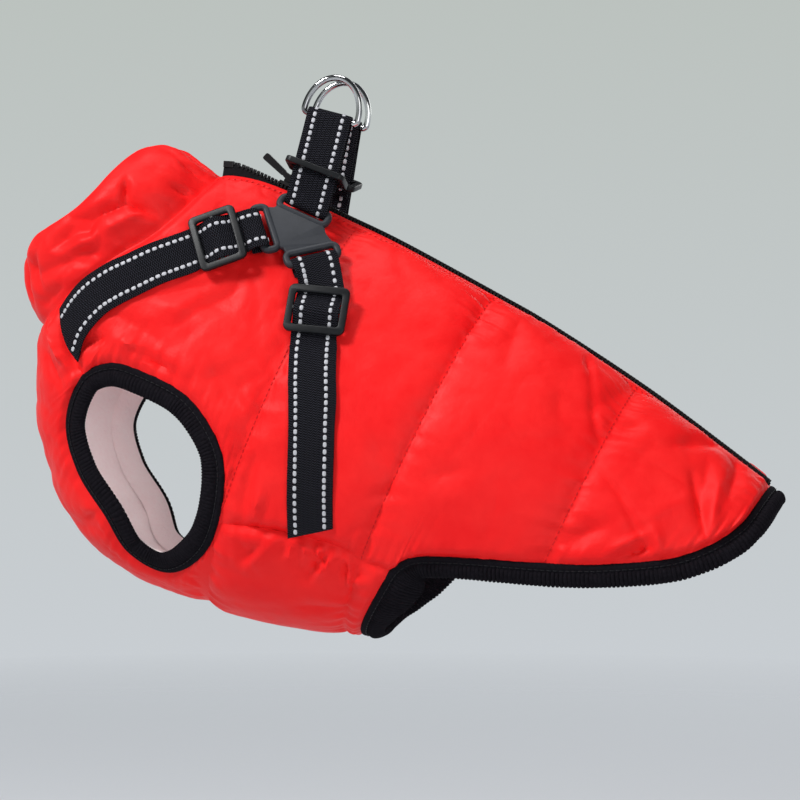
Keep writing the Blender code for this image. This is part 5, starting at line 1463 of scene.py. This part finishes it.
def make_strap(name, label, side, rows, slot, adjuster_at, slant):
    """Where it passes through the adjuster, at a distance out from its connector bar, the strap
    is flat and rises over the centre bar. It is drawn straight from the connector to the coat."""
    line = strap_line(rows, slot)
    at_slot = strap_at_slot(slot)
    flat = strap_on_coat(line, adjuster_at + np.array([-4.0, 0.0, 4.0, FLAT_REACH[0]]))
    centre, end = flat[1, 1:3].mean(0), flat[3, 1:3].mean(0)
    across = flat[1, -1] - flat[1, 0]
    out = unit(np.cross(across, flat[2].mean(0) - flat[0].mean(0)))
    out *= -math.copysign(1, out[1])
    start = at_slot[-1].mean(0)
    share = (adjuster_at - SLOT_EXIT) / (adjuster_at + FLAT_REACH[0] - SLOT_EXIT)
    centre = centre + out * max(0.0, np.dot(start + (end - start) * share - centre, out))
    along = unit(end - centre)
    across = unit(across - along * np.dot(across, along))
    out = np.cross(across, along)
    out *= -math.copysign(1, out[1])

    rest = np.arange(adjuster_at + FLAT_REACH[1] + 2.0, line[2][-1] - 5.0, 13.0)
    distances = np.concatenate([adjuster_at + HUMP_ROWS, rest, line[2][-1:]])
    on_coat = strap_on_coat(line, distances, slant)
    beyond = distances - adjuster_at
    height = HUMP_HEIGHT * np.exp(-(beyond / HUMP_LENGTH) ** 2)
    level = (centre + along * beyond[:, None] + out * height[:, None])[:, None]
    level = level + across * STRAP_COLUMNS[:, None] * WEBBING_WIDTH / 2
    share = np.clip((FLAT_REACH[1] - np.abs(beyond)) / (FLAT_REACH[1] - FLAT_REACH[0]), 0, 1)
    share = (share ** 2 * (3 - 2 * share))[:, None, None]
    on_coat = on_coat + (level - on_coat) * share
    if np.dot(on_coat[0, -1] - on_coat[0, 0], at_slot[0, -1] - at_slot[0, 0]) < 0:
        on_coat = on_coat[:, ::-1]
    middle = np.vstack([at_slot, on_coat])
    flip = np.dot(np.cross(middle[-1, 0] - middle[-2, 0], middle[-1, -1] - middle[-1, 0]), out) < 0
    ribbon(f"webbing_{name}_{label}", middle, f"{name}_strap_{label}",
           side, turn_over=flip)
    centre = centre + out * (ADJUSTER[2] / 2 + WEBBING_THICK / 2 + ADJUSTER_GAP)
    make_adjuster(f"slide_adjuster_{name}_{label}", f"{name}_adjuster_{label}", *ADJUSTER,
                  centre, across, along, side)


for label, side in SIDES:
    make_strap("chest", label, side, CHEST_STRAP, 1, CHEST_ADJUSTER_AT, CHEST_SLANT)
    make_strap("girth", label, side, GIRTH_STRAP, 2, GIRTH_ADJUSTER_AT, GIRTH_SLANT)

# -------------------------------------------------------------------------- the riser straps
# Webbing doubled round the D-ring at the top and round the connector's upper bar below. Its
# cut end lies between the two layers, frayed at the edge, and a slide adjuster clamps them.

D_RING_BAR = (5.5, -12.0, 53.1)
D_RING_LEAN = math.radians(15.5)
D_RING_HALF_WIDTH = 15.5
D_RING_HEIGHT = 22.5
D_RING_WIRE = 1.75
RISER_ADJUSTER_AT = 20.0
RISER_ADJUSTER_DEPTH = 20.6
RISER_ADJUSTER_THICK = 3.4
RISER_ADJUSTER_BACK = 1.9
FRAYED_AT = 36.6          # the strap's cut end is this far up from the connector
FRAYED_THREADS = 26


def make_riser(label, side):
    """The path runs from the cut end down inside, round the connector's bar, up the outside,
    round the D-ring and down again behind."""
    foot, _, bar, _ = slot_frame(0)
    head = np.array(D_RING_BAR)
    across = np.array([math.cos(D_RING_LEAN), 0.0, -math.sin(D_RING_LEAN)])
    bar = bar * math.copysign(1, bar[0])
    length, up = np.linalg.norm(head - foot), unit(head - foot)
    reach = BAR_RADIUS + BAR_GAP + WEBBING_THICK / 2
    turns = np.linspace(0, math.pi, 7)
    path = [(37.0, 0.4), (30.0, 0.4), (20.0, 0.4), (12.0, -0.2), (5.0, -2.2)]
    path += [(-reach * math.sin(turn), -reach * math.cos(turn)) for turn in turns]
    path += [(6.0, 3.1), (14.0, 3.1), (20.0, 3.1), (28.0, 3.1), (38.0, 3.0), (length - 5.0, reach)]
    path += [(length + math.sin(turn) * reach, math.cos(turn) * reach) for turn in turns]
    path += [(length - 6.0, -reach - 0.2), (36.0, -3.7), (28.0, -4.2), (20.0, -4.3), (13.0, -4.3)]
    square_up = unit(up - bar * np.dot(up, bar))
    rows = []
    for height, distance in path:
        share = min(max(height / length, 0), 1)
        width_way = unit((1 - share) * bar + share * across)
        out = np.cross(up, width_way)
        centre = foot + (up if height > 0 else square_up) * height
        centre = centre - unit(out) * math.copysign(1, out[1]) * distance
        rows.append([centre + width_way * column * WEBBING_WIDTH / 2 for column in STRAP_COLUMNS])
    rows = np.array(rows)
    normal = np.cross(rows[15, 0] - rows[14, 0], rows[15, -1] - rows[15, 0])
    ribbon(f"webbing_riser_{label}", rows, f"riser_strap_{label}",
           side, turn_over=normal[1] > 0)

    share = RISER_ADJUSTER_AT / length
    width_way = unit((1 - share) * bar + share * across)
    depth_way = unit(np.cross(up, width_way))
    depth_way *= math.copysign(1, depth_way[1])
    centre = foot + up * RISER_ADJUSTER_AT + depth_way * RISER_ADJUSTER_BACK
    make_adjuster(f"slide_adjuster_riser_{label}", f"riser_adjuster_{label}",
                  WEBBING_WIDTH + 2 * ADJUSTER_BAR + 1.6, RISER_ADJUSTER_DEPTH, RISER_ADJUSTER_THICK,
                  centre, width_way, depth_way, side)

    draw = np.random.default_rng(600 + side)
    ends = []
    for _ in range(FRAYED_THREADS):
        at = draw.uniform(-0.5, 0.5)
        root = foot + up * FRAYED_AT + width_way * at * WEBBING_WIDTH
        tip = root + up * draw.uniform(0.8, 3.0) - width_way * draw.uniform(-0.6, 1.4)
        tip = tip + depth_way * draw.uniform(-0.8, 0.8)
        bend = unit(draw.normal(size=3)) * draw.uniform(0.2, 0.9)
        way = np.linspace(0, 1, 5)[:, None]
        centre_line = root * (1 - way) + tip * way + bend * np.sin(math.pi * way)
        turn = np.linspace(0, 2 * math.pi, 6)[:-1]
        section = np.cos(turn)[:, None] * width_way + np.sin(turn)[:, None] * depth_way
        ends.append(centre_line[:, None] + 0.13 * section)
    points, faces = tubes(ends, closed=False)
    solid(f"frayed_end_{label}", mirrored(points, side), faces, BLACK_WEBBING, uv=points[:, :2] / 10)


# ------------------------------------------------------------------------------ the D-rings
# Chromed steel wire, 3 mm thick, bent to a D and welded in the middle of its straight bar,
# which lies in the top loop of the riser strap.


def chrome():
    """Polished chrome with faint drawing marks, and a painted reflection in its colour: large dark and bright
    patches.
    """
    finish = Finish("polished_chrome", (0.62, 0.62, 0.63), 0.1, metallic=1.0)
    marks = finish.noise(500.0, 3.0, 0.6)
    finish.bump(marks, 0.01, 0.2)
    finish.feed("Roughness", marks * 0.10 + 0.05)
    # Painted reflection: the colour swings in large patches between dark and bright, standing in for dark and
    # bright surroundings mirrored in the chrome.
    finish.feed("Base Color", finish.blend((finish.noise(50.0, 1.0) * 3.4 - 1.2).clipped(),
                                           (0.14, 0.14, 0.15), (0.80, 0.80, 0.81)))
    return finish.material


CHROME = chrome()


def make_d_ring(label, side):
    """An even round section carried along the bar, two tight corners and half an ellipse."""
    across = np.array([math.cos(D_RING_LEAN), 0.0, -math.sin(D_RING_LEAN)])
    up = np.array([math.sin(D_RING_LEAN), 0.0, math.cos(D_RING_LEAN)])
    corner, half = 2.4, D_RING_HALF_WIDTH
    path = [(share * (half - corner), 0.0) for share in np.linspace(-1, 1, 9)]
    for centre, wide, high, turns in (
            (half - corner, corner, corner, np.linspace(-75, 0, 6)),
            (0, half, D_RING_HEIGHT - corner, np.linspace(0, 180, 49)[1:-1]),
            (corner - half, corner, corner, np.linspace(180, 255, 6))):
        for turn in np.radians(turns):
            path.append((centre + wide * math.cos(turn), corner + high * math.sin(turn)))
    path = np.array(path)
    ahead = unit(np.roll(path, -1, 0) - np.roll(path, 1, 0))
    beside = np.stack([ahead[:, 1], -ahead[:, 0]], -1)
    depth = np.cross(across, up)
    turn = np.linspace(0, 2 * math.pi, 19)[:-1]
    path, beside = (flat[..., :1] * across + flat[..., 1:] * up for flat in (path, beside))
    section = np.cos(turn)[:, None] * beside[:, None] + np.sin(turn)[:, None] * depth
    rings = path[:, None] + D_RING_WIRE * section + np.array(D_RING_BAR)
    piece = loft(f"d_ring_wire_{label}", mirrored(rings, side), CHROME, closed=True, body=f"ring_{label}")
    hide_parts(f"d_ring_{label}")


for label, side in SIDES:
    make_d_ring(label, side)
    make_riser(label, side)

# ------------------------------------------------------------------- the floor and the light
# A pale studio floor under the jacket that fades into a plain grey surround, a large soft
# light high in front on the left, and weaker ones in front on the right, overhead and behind.

LIGHTS = (                # place, size in metres, power in watts
    ("key", (-1.1, -1.15, 1.5), 0.55, 42.0), ("fill", (1.3, -1.9, 0.1), 1.4, 13.0),
    ("top", (0.0, -0.1, 1.8), 0.8, 14.0), ("rear", (0.7, 1.9, 0.8), 1.2, 7.0),
)
FLOOR_HEIGHT = -0.42
FLOOR_REACH = 4
LIGHTS_AIM = (0.05, 0.0, -0.1)

floor_finish = Finish("studio_floor", (0.69, 0.715, 0.75), 0.85)
floor_finish.bump(floor_finish.noise(30.0, 3.0), 0.4, 0.3)
position = add_node(floor_finish.tree, "ShaderNodeSeparateXYZ", {}, {0: floor_finish.place}, 0)
depth_position = add_node(floor_finish.tree, "ShaderNodeSeparateXYZ", {}, {0: floor_finish.place}, 1)
distance = (position * position + depth_position * depth_position) ** 0.5
floor_finish.feed("Alpha", 1 - ((distance - 0.45) * 0.75).clipped())
floor_mesh = bpy.data.meshes.new("floor")
floor_mesh.from_pydata([(x * FLOOR_REACH, y * FLOOR_REACH, FLOOR_HEIGHT)
                        for x, y in ((-1, -1), (1, -1), (1, 1), (-1, 1))], [], [(0, 1, 2, 3)])
floor_mesh.materials.append(floor_finish.material)
floor = bpy.data.objects.new("floor", floor_mesh)
bpy.context.scene.collection.objects.link(floor)

for name, place, size, power in LIGHTS:
    lamp = bpy.data.lights.new(name, "AREA")
    lamp.shape = "DISK"
    lamp.size = size
    lamp.energy = power
    light = bpy.data.objects.new(name, lamp)
    light.location = place
    aim = Vector(LIGHTS_AIM) - Vector(place)
    light.rotation_euler = aim.to_track_quat("-Z", "Y").to_euler()
    bpy.context.scene.collection.objects.link(light)

surround = bpy.data.worlds.new("surround")
surround.use_nodes = True
sky = surround.node_tree.nodes["Background"]
heading = add_node(surround.node_tree, "ShaderNodeTexCoord", {}, {}, 0)
height = add_node(surround.node_tree, "ShaderNodeSeparateXYZ", {}, {0: heading}, 2)
upward = (height * 2.6 + 0.5).clipped()
shade = add_node(surround.node_tree, "ShaderNodeMix", {"data_type": "RGBA"},
                 {0: upward, 6: (0.61, 0.64, 0.69, 1.0), 7: (0.49, 0.53, 0.50, 1.0)}, 2)
beyond = add_node(surround.node_tree, "ShaderNodeMix", {"data_type": "RGBA"},
                  {0: upward, 6: (0.36, 0.38, 0.40, 1.0), 7: (0.05, 0.055, 0.06, 1.0)}, 2)
away = ((height * height) ** 0.5 * 6.0 - 1.05).clipped()
shade = add_node(surround.node_tree, "ShaderNodeMix", {"data_type": "RGBA"},
                 {0: away, 6: shade, 7: beyond}, 2)
surround.node_tree.links.new(shade.socket, sky.inputs["Color"])
sky.inputs["Strength"].default_value = 1.0
bpy.context.scene.world = surround
